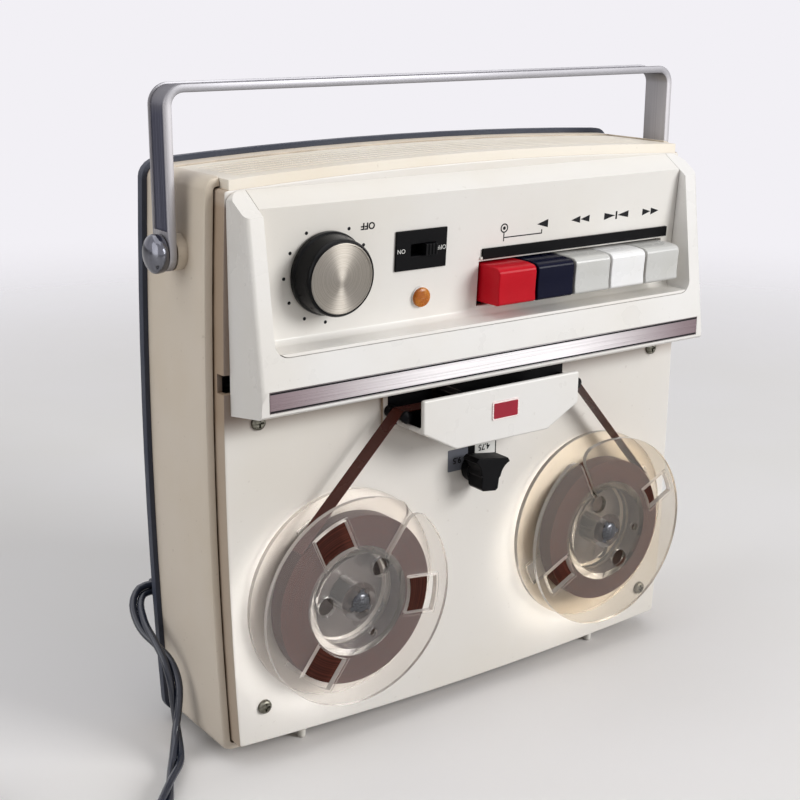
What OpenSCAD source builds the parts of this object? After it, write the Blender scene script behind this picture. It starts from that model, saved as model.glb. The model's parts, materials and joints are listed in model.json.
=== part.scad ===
// Portable reel-to-reel tape recorder, standing upright on its reel end.
// Millimetres, +Z up, front face towards -Y, origin on the floor under the middle of the case.

/* [Case] */
// Width of the case across its corners
case_w = 208.6; // [200:0.2:220]
// Height of the case at its corners
case_h = 201.4; // [196:0.2:212]
// Depth of the tub from its front rim to the back cover
case_d = 40.5; // [38:0.5:50]
// How far each side wall bows out at its middle
side_bow = 2.7; // [0.5:0.1:4]
// How far the top and the bottom bow out at their middle
top_bow = 3; // [0.5:0.1:4]
// Corner radius of the case
case_r = 4; // [3:0.5:9]
// Thickness of the tub wall
wall = 2.9; // [2.4:0.1:3.4]
// Rounding of the tub's front lip
bead = 1.6; // [0.8:0.1:2]
// Gap between the floor and the lowest point of the tub
ground_gap = 2; // [1:0.1:4]
// Depth of the back cover
cover_t = 6; // [4:0.5:10]
// How far the back cover stands out past the tub at its sides and top
cover_over = 1.8; // [0:0.1:2.4]
// Height of the rubber pads on the back cover
pad_h = 2.4; // [1.5:0.1:4]
// Diameter of the rubber pads
pad_d = 12; // [8:0.5:16]
// Distance of the foot pegs from the middle
foot_x = 70.8; // [50:0.2:85]
// Diameter of a foot peg at the floor
foot_d = 2.8; // [2.4:0.1:4]

/* [Deck] */
// How far the deck plate stands in front of the tub's rim
deck_rise = 6; // [4:0.5:8]
// Thickness of the deck plate
deck_t = 2.2; // [1.6:0.1:3]
// Groove between the deck plate and the tub
deck_gap = 0.6; // [0.4:0.1:1]
// Depth that the deck's skirt reaches into the tub
nest = 6; // [4:0.5:8]
// Distance of the deck screws from the side of the case
screw_inset = 13.6; // [11:0.2:18]
// Diameter of a deck screw's head
screw_head = 5.2; // [4:0.1:6]

/* [Reels] */
// Outer diameter of a reel
reel_d = 76.2; // [70:0.2:78]
// Overall thickness of a reel
reel_t = 12.8; // [11.5:0.1:14]
// Thickness of a reel flange
flange_t = 1.8; // [1.4:0.1:2.2]
// Diameter of the reel hub
hub_d = 40; // [34:0.5:44]
// Distance of each reel's axis from the middle
reel_x = 59.1; // [56:0.1:62]
// Height of the reel axes above the floor
reel_z = 58.2; // [54:0.2:62]
// Radius of the tape on the supply reel
supply_r = 28.5; // [24:0.5:34]
// Radius of the tape on the take-up reel
takeup_r = 31; // [24:0.5:34]
// Width of the tape
tape_w = 6.35; // [5:0.05:7]
// Diameter of a spindle post
spindle_d = 7.4; // [6:0.1:8]

/* [Heads] */
// Gap between the head cover and the take-up guide's flange
guide_gap = 0.4; // [0.4:0.1:4]
// Gap between the head cover and the supply guide's flange
guide_gap_supply = 2.4; // [0.4:0.1:6]
// Radius of a tape guide
guide_r = 1.6; // [1.4:0.1:2.4]
// Width of the head cover at its top
head_cover_w = 71.6; // [66:0.2:74]
// Width of the head cover at its foot
head_cover_foot = 42.4; // [36:0.2:48]
// Height of the head cover
head_cover_h = 20; // [18:0.2:22]
// Diameter of the capstan
capstan_d = 4; // [3:0.1:5]
// Diameter of the pinch roller
pinch_d = 11; // [9:0.1:12]
// Diameter of the flywheel
flywheel_d = 42; // [36:0.5:46]

/* [Controls] */
// How far the control housing stands in front of the deck
housing_proj = 18.3; // [17:0.1:22]
// Height of the control housing against the deck
housing_h = 73.1; // [70:0.1:76]
// How far the top face of the housing falls to its front edge
housing_fall = 7.3; // [5:0.1:10]
// How far that front edge stands in front of the deck
break_proj = 11; // [9.5:0.1:13]
// Width of the housing's frame beside the panel insert
panel_edge = 7.9; // [6.8:0.1:11]
// Thickness of the panel insert
panel_t = 2.2; // [1.8:0.1:2.8]
// Lean of the panel, away from the viewer at its foot
panel_tilt = 3.86; // [1:0.1:6]
// Diameter of the volume knob's skirt
knob_d = 28; // [24:0.5:31]
// Height of the volume knob
knob_h = 9.4; // [8:0.1:12]
// Pitch of the five keys
key_pitch = 17.9; // [16:0.1:18]
// Gap between two keys
key_gap = 1; // [0.8:0.1:2]
// Height of a key's face
key_h = 13.8; // [12:0.1:15]
// Height of the trim strip
strip_h = 6.8; // [5:0.1:8]

/* [Handle] */
// Width of the handle strap
strap_w = 12; // [10:0.5:15]
// Thickness of the handle strap
strap_t = 2.7; // [2:0.1:3.5]
// Height of the strap's top above the pivots
strap_rise = 53.8; // [48:0.2:64]
// Distance of the pivots below the top corners of the case
pivot_drop = 25.4; // [20:0.2:34]
// Distance of the pivots behind the tub's rim
pivot_back = 16.7; // [12:0.1:24]
// Gap between the case and the strap, filled by a boss
strap_gap = 3.8; // [3:0.1:6]
// Diameter of the domed pivot head
dome_d = 13; // [10:0.5:15]

/* [Cord] */
// Diameter of the twisted two-core cord
cord_d = 5.6; // [4:0.1:7]
// Turns in each layer of the coil
coil_turns = 3.5; // [2.5:1:4.5]
// Free gap between neighbouring turns
coil_gap = 0.6; // [0.5:0.1:1]
// Radius of the innermost turn
coil_in = 22; // [20:0.5:30]

/* [Hidden] */
$fn = 48;

cream = "#e9e2d0";
white = "#f2efe6";
black = "#1c1c1f";
steel = "#9aa0a6";
alu = "#c9ccd0";
brass = "#c2a25a";
tape_brown = "#4a2f22";
clear = "#dfe3df";

// Clearances
fit = 0.2;
run = 0.05;
air = 0.4;
hair = 0.02;

// Stations along the depth and the height
total_d = housing_proj + deck_rise + case_d + cover_t + pad_h;
y_front = -total_d / 2;
y_deck = y_front + housing_proj;
y_deck_back = y_deck + deck_t;
y_rim = y_deck + deck_rise;
y_ledge = y_rim + nest;
ledge_t = 2;
ledge_w = 3;
y_chassis = y_ledge + ledge_t;
chassis_t = 1.2;
y_chassis_back = y_chassis + chassis_t;
y_back = y_rim + case_d;
y_rear = y_back + cover_t;
zc = ground_gap + top_bow + case_h / 2;
z_top = zc + case_h / 2;
z_low = zc - case_h / 2;

// Outline of the case in the front view: a round-cornered box with each side bowed out
corner_n = 5;
side_n = 10;
function corner_pts(cx, cz, r, a) =
  [for (i = [0:corner_n]) [cx + r * cos(a + 90 * i / corner_n), cz + r * sin(a + 90 * i / corner_n)]];
function edge_pts(p, q) = [for (i = [1:side_n - 1]) p + (q - p) * i / side_n];
function round_box(w, h, r) = let (x = w / 2 - r, z = h / 2 - r) concat(
  corner_pts(x, z, r, 0), edge_pts([x, h / 2], [-x, h / 2]),
  corner_pts(-x, z, r, 90), edge_pts([-w / 2, z], [-w / 2, -z]),
  corner_pts(-x, -z, r, 180), edge_pts([-x, -h / 2], [x, -h / 2]),
  corner_pts(x, -z, r, 270), edge_pts([w / 2, -z], [w / 2, z]));
function bowed(p, w, h) = [p.x * (1 + 2 * side_bow / w * (1 - pow(2 * p.y / h, 2))),
  p.y * (1 + 2 * top_bow / h * (1 - pow(2 * p.x / w, 2)))];
function outline(inset) =
  let (w = case_w - 2 * inset, h = case_h - 2 * inset, r = max(case_r - inset, 1))
  [for (p = round_box(w, h, r)) bowed(p, w, h)];
function side_x(z) = case_w / 2 + side_bow * (1 - pow(2 * (z - zc) / case_h, 2));
function bottom_z(x) = z_low - top_bow * (1 - pow(2 * x / case_w, 2));
function crown_z(x) = z_top + top_bow * (1 - pow(2 * x / case_w, 2));

// Shared shapes
module along_y(y0, y1) {
  translate([0, y1, 0])
    rotate([90, 0, 0])
      linear_extrude(y1 - y0)
        children();
}
module along_x(x0, x1) {
  translate([x0, 0, 0])
    rotate([90, 0, 90])
      linear_extrude(x1 - x0)
        children();
}
module rod_y(x, z, y0, y1, d) {
  translate([x, y1, z])
    rotate([90, 0, 0])
      cylinder(d = d, h = y1 - y0);
}
module rod_x(y, z, x0, x1, d) {
  translate([x0, y, z])
    rotate([0, 90, 0])
      cylinder(d = d, h = x1 - x0);
}
module slab(inset, y0, y1) {
  translate([0, 0, zc])
    along_y(y0, y1)
      polygon(outline(inset));
}
module block(x0, x1, y0, y1, z0, z1) {
  translate([x0, y0, z0])
    cube([x1 - x0, y1 - y0, z1 - z0]);
}
// Revolved profile with its axis along -Y and its zero on the plane y
module turned(x, y, z) {
  translate([x, y, z])
    rotate([90, 0, 0])
      rotate_extrude()
        children();
}

// Screw posts in the four corners of the tub
post_inset = 6.2;
post_d = 8;
screw_shank = 2.6;
post_bore = screw_shank + 2 * hair;
post_x = case_w / 2 - post_inset;
post_z = case_h / 2 - post_inset;
module at_posts() {
  for (sx = [-1, 1], sz = [-1, 1])
    translate([sx * post_x, 0, zc + sz * post_z])
      children();
}

// Chassis seats on the side walls, behind the ledge
seat_z = [40, 150];
seat_d = 8;
seat_in = 3.4;
function seat_x(z) = side_x(z) - wall - seat_in;
module at_seats() {
  for (sx = [-1, 1], z = seat_z)
    translate([sx * seat_x(z), 0, z])
      children();
}

// Handle pivot
pivot_y = y_rim + pivot_back;
pivot_z = z_top - pivot_drop;
pivot_d = 5;
boss_d = 12;
strap_in = side_x(pivot_z) + strap_gap;
strap_out = strap_in + strap_t;
boss_depth = 4;

// Top grille
grille_edge = 5.3;
grille_w = case_w - 2 * grille_edge;
grille_y0 = y_deck + air;
grille_rear_band = 8;
grille_y1 = y_back - grille_rear_band;
grille_sink = 0.5;
grille_lip = 3;
grille_flange_t = 1.6;
slot_w = 1.6;
slot_pitch = 4.6;
slot_count = 6;
slot_first = y_rim + 2;
slot_edge = 6;
bridge_pitch = 24;
bridge_w = 3;

module case_tub() {
  foot_y = [y_rim + foot_inset, y_back - foot_inset];
  color(cream)
    difference() {
      union() {
        difference() {
          union() {
            slab(0, y_rim + bead, y_back);
            hull() {
              slab(0, y_rim + bead, y_rim + bead + fit);
              slab(0.3 * bead, y_rim + 0.3 * bead, y_rim + bead);
              slab(bead, y_rim, y_rim + bead);
            }
          }
          slab(wall, y_rim - 1, y_back + 1);
        }
        difference() {
          slab(wall - fit, y_ledge, y_chassis);
          slab(wall + ledge_w, y_ledge - 1, y_chassis + 1);
        }
        at_posts()
          rod_y(0, 0, y_ledge, y_back, post_d);
        at_seats()
          rod_y(0, 0, y_ledge, y_chassis, seat_d);
        for (s = [-1, 1])
          mirror([s < 0 ? 1 : 0, 0, 0])
            rod_x(pivot_y, pivot_z, strap_in - strap_gap - wall - boss_depth, strap_in - air, boss_d);
      }
      at_posts()
        rod_y(0, 0, y_chassis, y_back + 1, post_bore);
      at_seats()
        rod_y(0, 0, y_ledge - 1, y_chassis + 1, post_bore);
      rod_x(pivot_y, pivot_z, -case_w, case_w, pivot_d + 2 * hair);
      block(-grille_w / 2 - fit, grille_w / 2 + fit, y_rim - 1, grille_y1 + fit,
        z_top - 2 * wall - ledge_w, z_top + 10);
      for (s = [-1, 1], y = foot_y)
        translate([s * foot_x, y, bottom_z(foot_x) - 1])
          cylinder(d = foot_stem + 2 * hair, h = 1 + wall - fit);
    }
}

housing_inset = 3.1;
housing_w = case_w - 2 * housing_inset;
panel_w = housing_w - 2 * panel_edge;

// The panel's own frame: children sit on its front plane, with -Y outwards
z_house_top = z_top - 3.7;
z_house_low = z_house_top - housing_h;
open_low = z_house_low + 21.4;
panel_top_fall = 5.2;
function top_face_z(y) = z_house_top - (y_deck - y) * housing_fall / break_proj;
panel_break_y = y_deck - panel_top_fall * break_proj / housing_fall;
panel_break_z = z_house_top - panel_top_fall;
function panel_y(z) = panel_break_y + (panel_break_z - z) * tan(panel_tilt);
module on_panel(x, z) {
  translate([x, panel_y(z), z])
    rotate([panel_tilt, 0, 0])
      children();
}

// Places of the controls, from the panel's edges
knob_x = -panel_w / 2 + 25.7;
panel_mid = (z_house_top + open_low) / 2;
knob_z = panel_mid - 2.25;
key_edge = 6.8;
keys_x1 = panel_w / 2 - key_edge;
keys_x0 = keys_x1 - 5 * key_pitch;
key_low = open_low + 5.8;
key_top = key_low + key_h;
switch_x = (knob_x + keys_x0) / 2 + 5.9;
switch_z = panel_mid + 1.75;
lamp_x = switch_x + 0.9;
lamp_z = open_low + 10.7;
key_front = y_front + 1.3;
key_pivot_y = y_deck - 7.7;
key_pivot_z = z_house_low + 13.4;
key_shaft_d = 4;
lever_front = y_deck - 2.5;
shaft_bore = 6;
pot_bush_d = 9;
lamp_d = 7.6;

// Deck openings
window_side = 11;
window_low = z_house_low + 7;
window_top = z_house_top - 8;
latch_h = 6.5;
latch_d = 4.2;
latch_z = z_house_low + 10.6;
deck_in = wall + deck_gap;
deck_skirt = 1.8;
deck_round = 1;
deck_screw_z = [z_low + 16.8, z_house_low - 3.9];
module at_deck_screws() {
  for (s = [-1, 1], z = deck_screw_z)
    translate([s * (case_w / 2 - screw_inset), 0, z])
      children();
}

// Head group, hung under the control housing
guide_shoulder = 0.6;
takeup_guide = head_cover_w / 2 + guide_gap + guide_r + guide_shoulder;
supply_guide = head_cover_w / 2 + guide_gap_supply + guide_r + guide_shoulder;
guide_z = z_house_low - 8.2;
tape_t = 0.25;
tape_z = guide_z + guide_r + hair + tape_t / 2;
capstan_x = -16;
capstan_z = tape_z + tape_t / 2 + air + capstan_d / 2;
pinch_lift = 1;
pinch_x = capstan_x;
pinch_z = tape_z - tape_t / 2 - air - pinch_lift - pinch_d / 2;
arm_x = -5.5;
arm_z = guide_z - 7.8;
selector_z = guide_z - 28.4;
selector_shaft = 6;
bush_d = 8;
motor_x = 40;
motor_z = guide_z - 17.4;

module deck_plate() {
  color(white)
    difference() {
      union() {
        hull() {
          slab(deck_in, y_deck + deck_round, y_deck_back);
          slab(deck_in + 0.3 * deck_round, y_deck + 0.3 * deck_round, y_deck_back);
          slab(deck_in + deck_round, y_deck, y_deck_back);
        }
        difference() {
          slab(deck_in, y_deck + deck_round, y_ledge);
          slab(deck_in + deck_skirt, y_deck + deck_round, y_ledge + 1);
        }
      }
      block(-case_w / 2 + window_side, case_w / 2 - window_side, y_deck - 1, y_deck_back + 1,
        window_low, window_top);
      for (s = [-1, 1])
        rod_y(s * reel_x, reel_z, y_deck - 1, y_deck_back + 1, spindle_shaft + 2 * air);
      rod_y(capstan_x, capstan_z, y_deck - 1, y_deck_back + 1, bush_d + 2 * hair);
      rod_y(0, selector_z, y_deck - 1, y_deck_back + 1, selector_shaft + 2 * run);
      at_deck_screws()
        rod_y(0, 0, y_deck - 1, y_deck_back + 1, screw_shank + 2 * fit);
      for (s = [-1, 1])
        translate([s * case_w / 2, y_deck + latch_d / 2, latch_z])
          cube([4 * (deck_in + deck_skirt), latch_d, latch_h], center = true);
    }
}

// Control housing: section in the (y, z) plane, cut by the front outline and by a leaning plan outline
housing_draft = 1.2;
housing_top_r = 6;
housing_edge_r = 2;
housing_wall = 2.2;
band_rise = 11.9;
toe_rise = 2.7;
toe_r = 0.8;
open_r = 5;
strip_low = z_house_low + 4.5;
strip_t = 0.6;
strip_edge = 4.6;
front_lean = atan((housing_proj - break_proj) / (housing_h - housing_fall - band_rise));
function front_y(z) = y_front + max(0, z - z_house_low - band_rise) * tan(front_lean);
module housing_section(t) {
  polygon([
    [y_deck, z_house_low + t],
    [y_front + toe_r + t, z_house_low + toe_rise + t],
    [y_front + t, z_house_low + toe_rise + toe_r + t],
    [y_front + t, z_house_low + band_rise],
    [y_deck - break_proj + t, z_house_top - housing_fall - t],
    [y_deck, z_house_top - t]]);
}
module panel_front(grow) {
  x = panel_w / 2 + grow;
  z = open_low - grow;
  translate([0, z + open_r])
    translate([-x, 0])
      square([2 * x, housing_h]);
  translate([-x + open_r, z])
    square([2 * (x - open_r), open_r]);
  for (s = [-1, 1])
    translate([s * (x - open_r), z + open_r])
      circle(open_r);
}
module control_housing() {
  half = housing_w / 2;
  color(cream)
    difference() {
      intersection() {
        along_x(-half, half)
          housing_section(0);
        along_y(y_front - 1, y_deck)
          union() {
            translate([-half, z_house_low - 1])
              square([2 * half, housing_h - housing_top_r + 1]);
            translate([-half + housing_top_r, z_house_low])
              square([2 * (half - housing_top_r), housing_h + 1]);
            for (s = [-1, 1])
              translate([s * (half - housing_top_r), z_house_top - housing_top_r])
                circle(housing_top_r);
          }
        translate([0, y_front, z_house_low + band_rise])
          rotate([-front_lean, 0, 0])
            linear_extrude(3 * housing_h, center = true)
              union() {
                e = half - housing_draft - housing_edge_r;
                translate([-e, 0])
                  square([2 * e, 3 * housing_proj]);
                polygon([[-half - 1, 3 * housing_proj], [-e - housing_edge_r, housing_edge_r],
                  [e + housing_edge_r, housing_edge_r], [half + 1, 3 * housing_proj]]);
                for (s = [-1, 1])
                  translate([s * e, housing_edge_r])
                    circle(housing_edge_r);
              }
      }
      along_x(-half + 2 * housing_wall, half - 2 * housing_wall)
        polygon([
          [y_deck + 1, z_house_low + housing_wall],
          [y_front + housing_wall, z_house_low + toe_rise + housing_wall + toe_r],
          [y_front + housing_wall, z_house_low + band_rise],
          [front_y(open_low) + housing_wall, open_low - housing_wall],
          [y_deck + 1, open_low - housing_wall]]);
      along_y(y_front - 1, y_deck + 1)
        panel_front(0);
      block(keys_x0, keys_x1, lever_front - 2 * air, y_deck + 1, open_low - housing_wall - 1, open_low + 1);
      block(-half + strip_edge - fit, half - strip_edge + fit, y_front - 1, y_front + strip_t,
        strip_low - fit, strip_low + strip_h + fit);
    }
}

// Panel insert: leaning face, top face, and a ledge with a hollow fillet at its foot
ledge_top = open_low + 1.2;
fillet_r = 3;
lip_rise = 0.7;
lip_h = 0.9;
module control_panel() {
  face_low = ledge_top + fillet_r;
  y_low = panel_y(ledge_top);
  color(cream)
    difference() {
      intersection() {
        union() {
          along_x(-panel_w / 2, panel_w / 2)
            polygon([
              [front_y(open_low), open_low + fit],
              [front_y(ledge_top), ledge_top],
              [y_low, ledge_top],
              [panel_break_y, panel_break_z],
              [y_deck, z_house_top],
              [y_deck, z_house_top - panel_t],
              [panel_break_y + panel_t, panel_break_z - panel_t / 2],
              [y_low + panel_t, face_low],
              [y_low + panel_t, open_low + fit]]);
          along_x(-panel_w / 2, panel_w / 2)
            difference() {
              translate([y_low - fillet_r, ledge_top - hair])
                square([fillet_r + hair, fillet_r]);
              translate([y_low - fillet_r, face_low])
                circle(fillet_r);
            }
          on_panel((keys_x0 + keys_x1) / 2, key_top + 1.6)
            translate([-2.5 * key_pitch, -lip_rise, 0])
              cube([5 * key_pitch, lip_rise + hair, lip_h]);
        }
        along_y(y_front - 1, y_deck + 1)
          panel_front(-fit);
      }
      on_panel(knob_x, knob_z)
        rod_y(0, 0, -1, 2 * panel_t, pot_bush_d + 2 * hair);
      on_panel(lamp_x, lamp_z)
        rod_y(0, 0, -1, 2 * panel_t, lamp_d - 1 + 2 * hair);
      on_panel(switch_x, switch_z)
        block(-switch_body_w / 2 - fit, switch_body_w / 2 + fit, -1, 2 * panel_t, -switch_body_h / 2 - fit,
          switch_body_h / 2 + fit);
      block(keys_x0 - air, keys_x1 + air, y_front, y_deck, key_low - 4 * air, key_top + 2 * air);
    }
}

module trim_strip() {
  color(alu)
    block(-housing_w / 2 + strip_edge, housing_w / 2 - strip_edge, y_front, y_front + strip_t - hair,
      strip_low, strip_low + strip_h);
}

module top_shell(inset0, inset1, y0, y1) {
  difference() {
    slab(inset0, y0, y1);
    slab(inset1, y0 - 1, y1 + 1);
  }
}
module top_grille() {
  slots_d = (slot_count - 1) * slot_pitch + slot_w;
  bridges = floor((grille_w / 2 - slot_edge) / bridge_pitch);
  lip_half = post_x - post_d / 2 - air;
  color(cream)
    difference() {
      union() {
        intersection() {
          top_shell(grille_sink, wall, grille_y0, grille_y1);
          block(-grille_w / 2, grille_w / 2, grille_y0, grille_y1, zc, z_top + 10);
        }
        intersection() {
          top_shell(wall - hair, wall + grille_flange_t, y_ledge + air, grille_y1);
          block(-grille_w / 2, grille_w / 2, y_ledge, grille_y1, zc, z_top + 10);
        }
        intersection() {
          top_shell(wall + fit, wall + grille_flange_t, grille_y1 - hair, grille_y1 + grille_lip);
          block(-lip_half, lip_half, y_ledge, grille_y1 + grille_lip, zc, z_top + 10);
        }
      }
      intersection() {
        top_shell(-1, wall, slot_first, slot_first + slots_d);
        for (i = [0:slot_count - 1])
          block(-grille_w / 2 + slot_edge, grille_w / 2 - slot_edge, slot_first + i * slot_pitch,
            slot_first + i * slot_pitch + slot_w, zc, z_top + 10);
      }
      intersection() {
        top_shell(wall - 0.1, wall + grille_flange_t + 1, slot_first, slot_first + slots_d);
        for (i = [-bridges:bridges - 1])
          block(i * bridge_pitch + bridge_w / 2, (i + 1) * bridge_pitch - bridge_w / 2, slot_first + nest,
            slot_first + slots_d, zc, z_top + 10);
      }
    }
}

cover_wall = 2.2;
cover_round = 3;
cover_screw_head = 6;
gland_x = -78;
gland_z = 50;
module back_cover() {
  color("#33363a")
    difference() {
      union() {
        slab(-cover_over, y_back, y_rear - cover_round);
        hull() {
          slab(-cover_over, y_rear - cover_round - fit, y_rear - cover_round);
          slab(0.3 * cover_round - cover_over, y_rear - cover_round, y_rear - 0.3 * cover_round);
          slab(cover_round - cover_over, y_rear - cover_round, y_rear);
        }
      }
      block(-case_w, case_w, y_back - 1, y_rear + 1, -case_h, ground_gap);
      difference() {
        slab(cover_wall, y_back - 1, y_rear - cover_wall);
        at_posts()
          rod_y(0, 0, y_back, y_rear, cover_screw_head + 2 * cover_wall);
      }
      at_posts() {
        rod_y(0, 0, y_back - 1, y_rear + 1, screw_shank + 2 * fit);
        rod_y(0, 0, y_rear - cover_wall, y_rear + 1, cover_screw_head);
      }
      rod_y(gland_x, gland_z, y_back, y_rear + 1, gland_stem + 2 * hair);
    }
}

foot_inset = 2;
foot_stem = 2;
module case_feet() {
  color(white)
    for (s = [-1, 1], y = [y_rim + foot_inset, y_back - foot_inset])
      translate([s * foot_x, y, 0]) {
        cylinder(d1 = foot_d, d2 = foot_d + 0.6, h = bottom_z(foot_x) - run);
        cylinder(d = foot_stem, h = bottom_z(foot_x) + wall / 2);
      }
}

pad_inset = 26;
module base_pads() {
  color(black)
    for (sx = [-1, 1], sz = [-1, 1])
      translate([sx * (case_w / 2 - pad_inset), y_rear, zc + sz * (case_h / 2 - pad_inset)])
        rotate([-90, 0, 0])
          rotate_extrude()
            polygon([[0, 0], [pad_d / 2, 0], [pad_d / 2 - 0.5, pad_h - 0.6],
              [pad_d / 2 - 1.1, pad_h], [0, pad_h]]);
}

// Reels: three windows, hub holes, threading slot and notch, keyed bore
seat_gap = 1.2;
y_reel_back = y_deck - seat_gap;
y_reel = y_reel_back - reel_t;
y_tape = y_reel_back - reel_t / 2;
reel_r = reel_d / 2;
hub_r = hub_d / 2;
hub_wall = 2.4;
hub_boss = 14;
// Windows for a reel with three of them, then for one with two: inner radius, outer radius, width
windows = [[hub_r + 0.8, reel_r - 5.6, 13.4], [hub_r + 2.4, reel_r - 3.6, 9.4]];
window_rib = 1;
rib_h = 0.5;
hub_hole_d = 7;
hub_hole_r = 14;
small_hole_d = 3.2;
slot_gap = 1.6;
notch_r = 4.5;
key_w = 1.8;
key_d = 9.6;
function ray(r, a) = [r * cos(a), r * sin(a)];
module reel_windows(folds, grow) {
  size = windows[3 - folds];
  for (i = [0:folds - 1])
    rotate(360 * i / folds)
      intersection() {
        difference() {
          circle(size[1] + grow, $fn = 96);
          circle(size[0] - min(grow, 0.4), $fn = 96);
        }
        translate([0, -size[2] / 2 - grow])
          square([reel_r, size[2] + 2 * grow]);
      }
}
module spline_bore(grow) {
  circle(d = spindle_d + 2 * grow);
  for (a = [90, 210, 330])
    rotate(a)
      translate([0, -key_w / 2 - grow])
        square([key_d / 2 + grow, key_w + 2 * grow]);
}
// The threading slot lies midway between two windows
function slot_turn(folds) = 180 / folds;
module reel_flange(folds) {
  difference() {
    circle(reel_r, $fn = 96);
    reel_windows(folds, 0);
    for (a = [slot_turn(folds), slot_turn(folds) + 360 / folds])
      translate(ray(hub_hole_r, a))
        circle(d = hub_hole_d);
    translate(ray(hub_hole_r, slot_turn(folds) + 240))
      circle(d = small_hole_d);
    spline_bore(fit);
  }
}
// Threading slot along +X, with round shoulders where it meets the rim
module threading_notch() {
  half = slot_gap / 2 + notch_r;
  translate([hub_r - hub_wall, -slot_gap / 2])
    square([reel_r, slot_gap]);
  difference() {
    translate([reel_r - notch_r - 0.6, -half])
      square([2 * notch_r, 2 * half]);
    for (s = [-1, 1])
      translate([reel_r - notch_r - 0.6, s * half])
        circle(notch_r);
  }
}
module tape_reel(x, turn, folds) {
  color(clear, 0.5)
    translate([x, 0, reel_z])
      rotate([0, -turn, 0]) {
        along_y(y_reel, y_reel + flange_t)
          difference() {
            reel_flange(folds);
            rotate(slot_turn(folds))
              threading_notch();
          }
        along_y(y_reel_back - flange_t, y_reel_back)
          reel_flange(folds);
        along_y(y_reel - rib_h, y_reel + hair)
          difference() {
            reel_windows(folds, window_rib);
            reel_windows(folds, 0);
          }
        along_y(y_reel + flange_t - hair, y_reel_back - flange_t + hair)
          difference() {
            circle(hub_r, $fn = 96);
            circle(hub_r - hub_wall);
            rotate(slot_turn(folds))
              translate([hub_r - 2 * hub_wall, -slot_gap / 2])
                square([3 * hub_wall, slot_gap]);
          }
        along_y(y_reel, y_reel_back)
          difference() {
            circle(d = hub_boss);
            spline_bore(fit);
          }
      }
}
takeup_turn = -7;
supply_turn = 26;
module supply_reel() tape_reel(reel_x, supply_turn, 2);
module takeup_reel() tape_reel(-reel_x, takeup_turn, 3);

module tape_pack(x, r) {
  color(tape_brown)
    translate([x, 0, reel_z])
      along_y(y_tape - tape_w / 2, y_tape + tape_w / 2)
        difference() {
          circle(r, $fn = 96);
          circle(hub_r + hair, $fn = 96);
        }
}
module supply_tape() tape_pack(reel_x, supply_r);
module takeup_tape() tape_pack(-reel_x, takeup_r);

// Tape run: tangent from each pack to its guide, round the guides and straight past the heads.
// Each entry is a point of the middle line and the direction of its outer side.
guide_turn = guide_r + hair + tape_t / 2;
function run_normal(pack_r, guide_x) =
  let (dx = reel_x - guide_x, dz = guide_z - reel_z, d = norm([dx, dz]))
  90 + atan2(dz, dx) - asin((pack_r + air + tape_t / 2 - guide_turn) / d);
guide_n = 6;
function half_run(pack_r, guide_x) =
  let (n = run_normal(pack_r, guide_x), c = [-guide_x, guide_z])
  concat([[[-reel_x, reel_z] + (pack_r + air + tape_t / 2) * ray(1, n), n]],
    [for (i = [0:guide_n]) let (a = n + (90 - n) * i / guide_n) [c + guide_turn * ray(1, a), a]]);
function flip(run) = [for (i = [len(run) - 1:-1:0]) [[-run[i][0].x, run[i][0].y], 180 - run[i][1]]];
module tape_run() {
  line = concat(half_run(takeup_r, takeup_guide), flip(half_run(supply_r, supply_guide)));
  upper = [for (p = line) p[0] + tape_t / 2 * ray(1, p[1])];
  lower = [for (i = [len(line) - 1:-1:0]) line[i][0] - tape_t / 2 * ray(1, line[i][1])];
  color(tape_brown)
    along_y(y_tape - tape_w / 2, y_tape + tape_w / 2)
      polygon(concat(upper, lower));
}

// Spindles: seat disc, splined post with a pointed tip, shaft into the chassis
spindle_shaft = 5;
spindle_seat = 34;
spindle_tip = 1.4;
y_shaft_end = y_chassis_back + 4;
y_belt_b = y_deck_back + 3.1;
y_belt_a = y_chassis - 4;
pulley_w = 3.2;
takeup_pulley_d = 28;
groove = 1;
function pulley_section(d, w) = [[0, -w / 2], [d / 2, -w / 2], [d / 2, -w / 2 + 0.5], [d / 2 - groove, 0],
  [d / 2, w / 2 - 0.5], [d / 2, w / 2], [0, w / 2]];
module spindle(x, turn) {
  translate([x, 0, reel_z]) {
    rod_y(0, 0, y_reel_back, y_deck - air, spindle_seat);
    along_y(y_reel, y_reel_back + hair)
      rotate(turn)
        spline_bore(0);
    turned(0, y_reel + hair, 0)
      polygon([[0, 0], [spindle_d / 2, 0], [spindle_d / 2 - 0.6, spindle_tip / 2],
        [0.6, spindle_tip], [0, spindle_tip]]);
    rod_y(0, 0, y_reel_back, y_shaft_end, spindle_shaft);
  }
}
module supply_spindle() {
  color(steel)
    spindle(reel_x, supply_turn);
}
module takeup_spindle() {
  color(steel) {
    spindle(-reel_x, takeup_turn);
    turned(-reel_x, y_belt_b, reel_z)
      polygon(pulley_section(takeup_pulley_d, pulley_w));
  }
}

// Sintered bushes: one for each spindle and two for the capstan
bush_flange = 1;
module bush(x, z, y0, y1, bore, flange_y) {
  difference() {
    union() {
      rod_y(x, z, y0, y1, bush_d);
      rod_y(x, z, flange_y - bush_flange, flange_y, bush_d + 4);
    }
    rod_y(x, z, y0 - 1, y1 + 1, bore + 2 * run);
  }
}
module shaft_bushes() {
  color(brass) {
    for (s = [-1, 1])
      bush(s * reel_x, reel_z, y_belt_b + pulley_w / 2 + air, y_chassis_back + 2, spindle_shaft, y_chassis);
    bush(capstan_x, capstan_z, y_deck - base_t - fit, y_deck_back + bush_flange, capstan_d,
      y_deck_back + bush_flange);
    bush(capstan_x, capstan_z, y_chassis - bush_flange, y_chassis_back + 2, capstan_d, y_chassis);
  }
}

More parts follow.
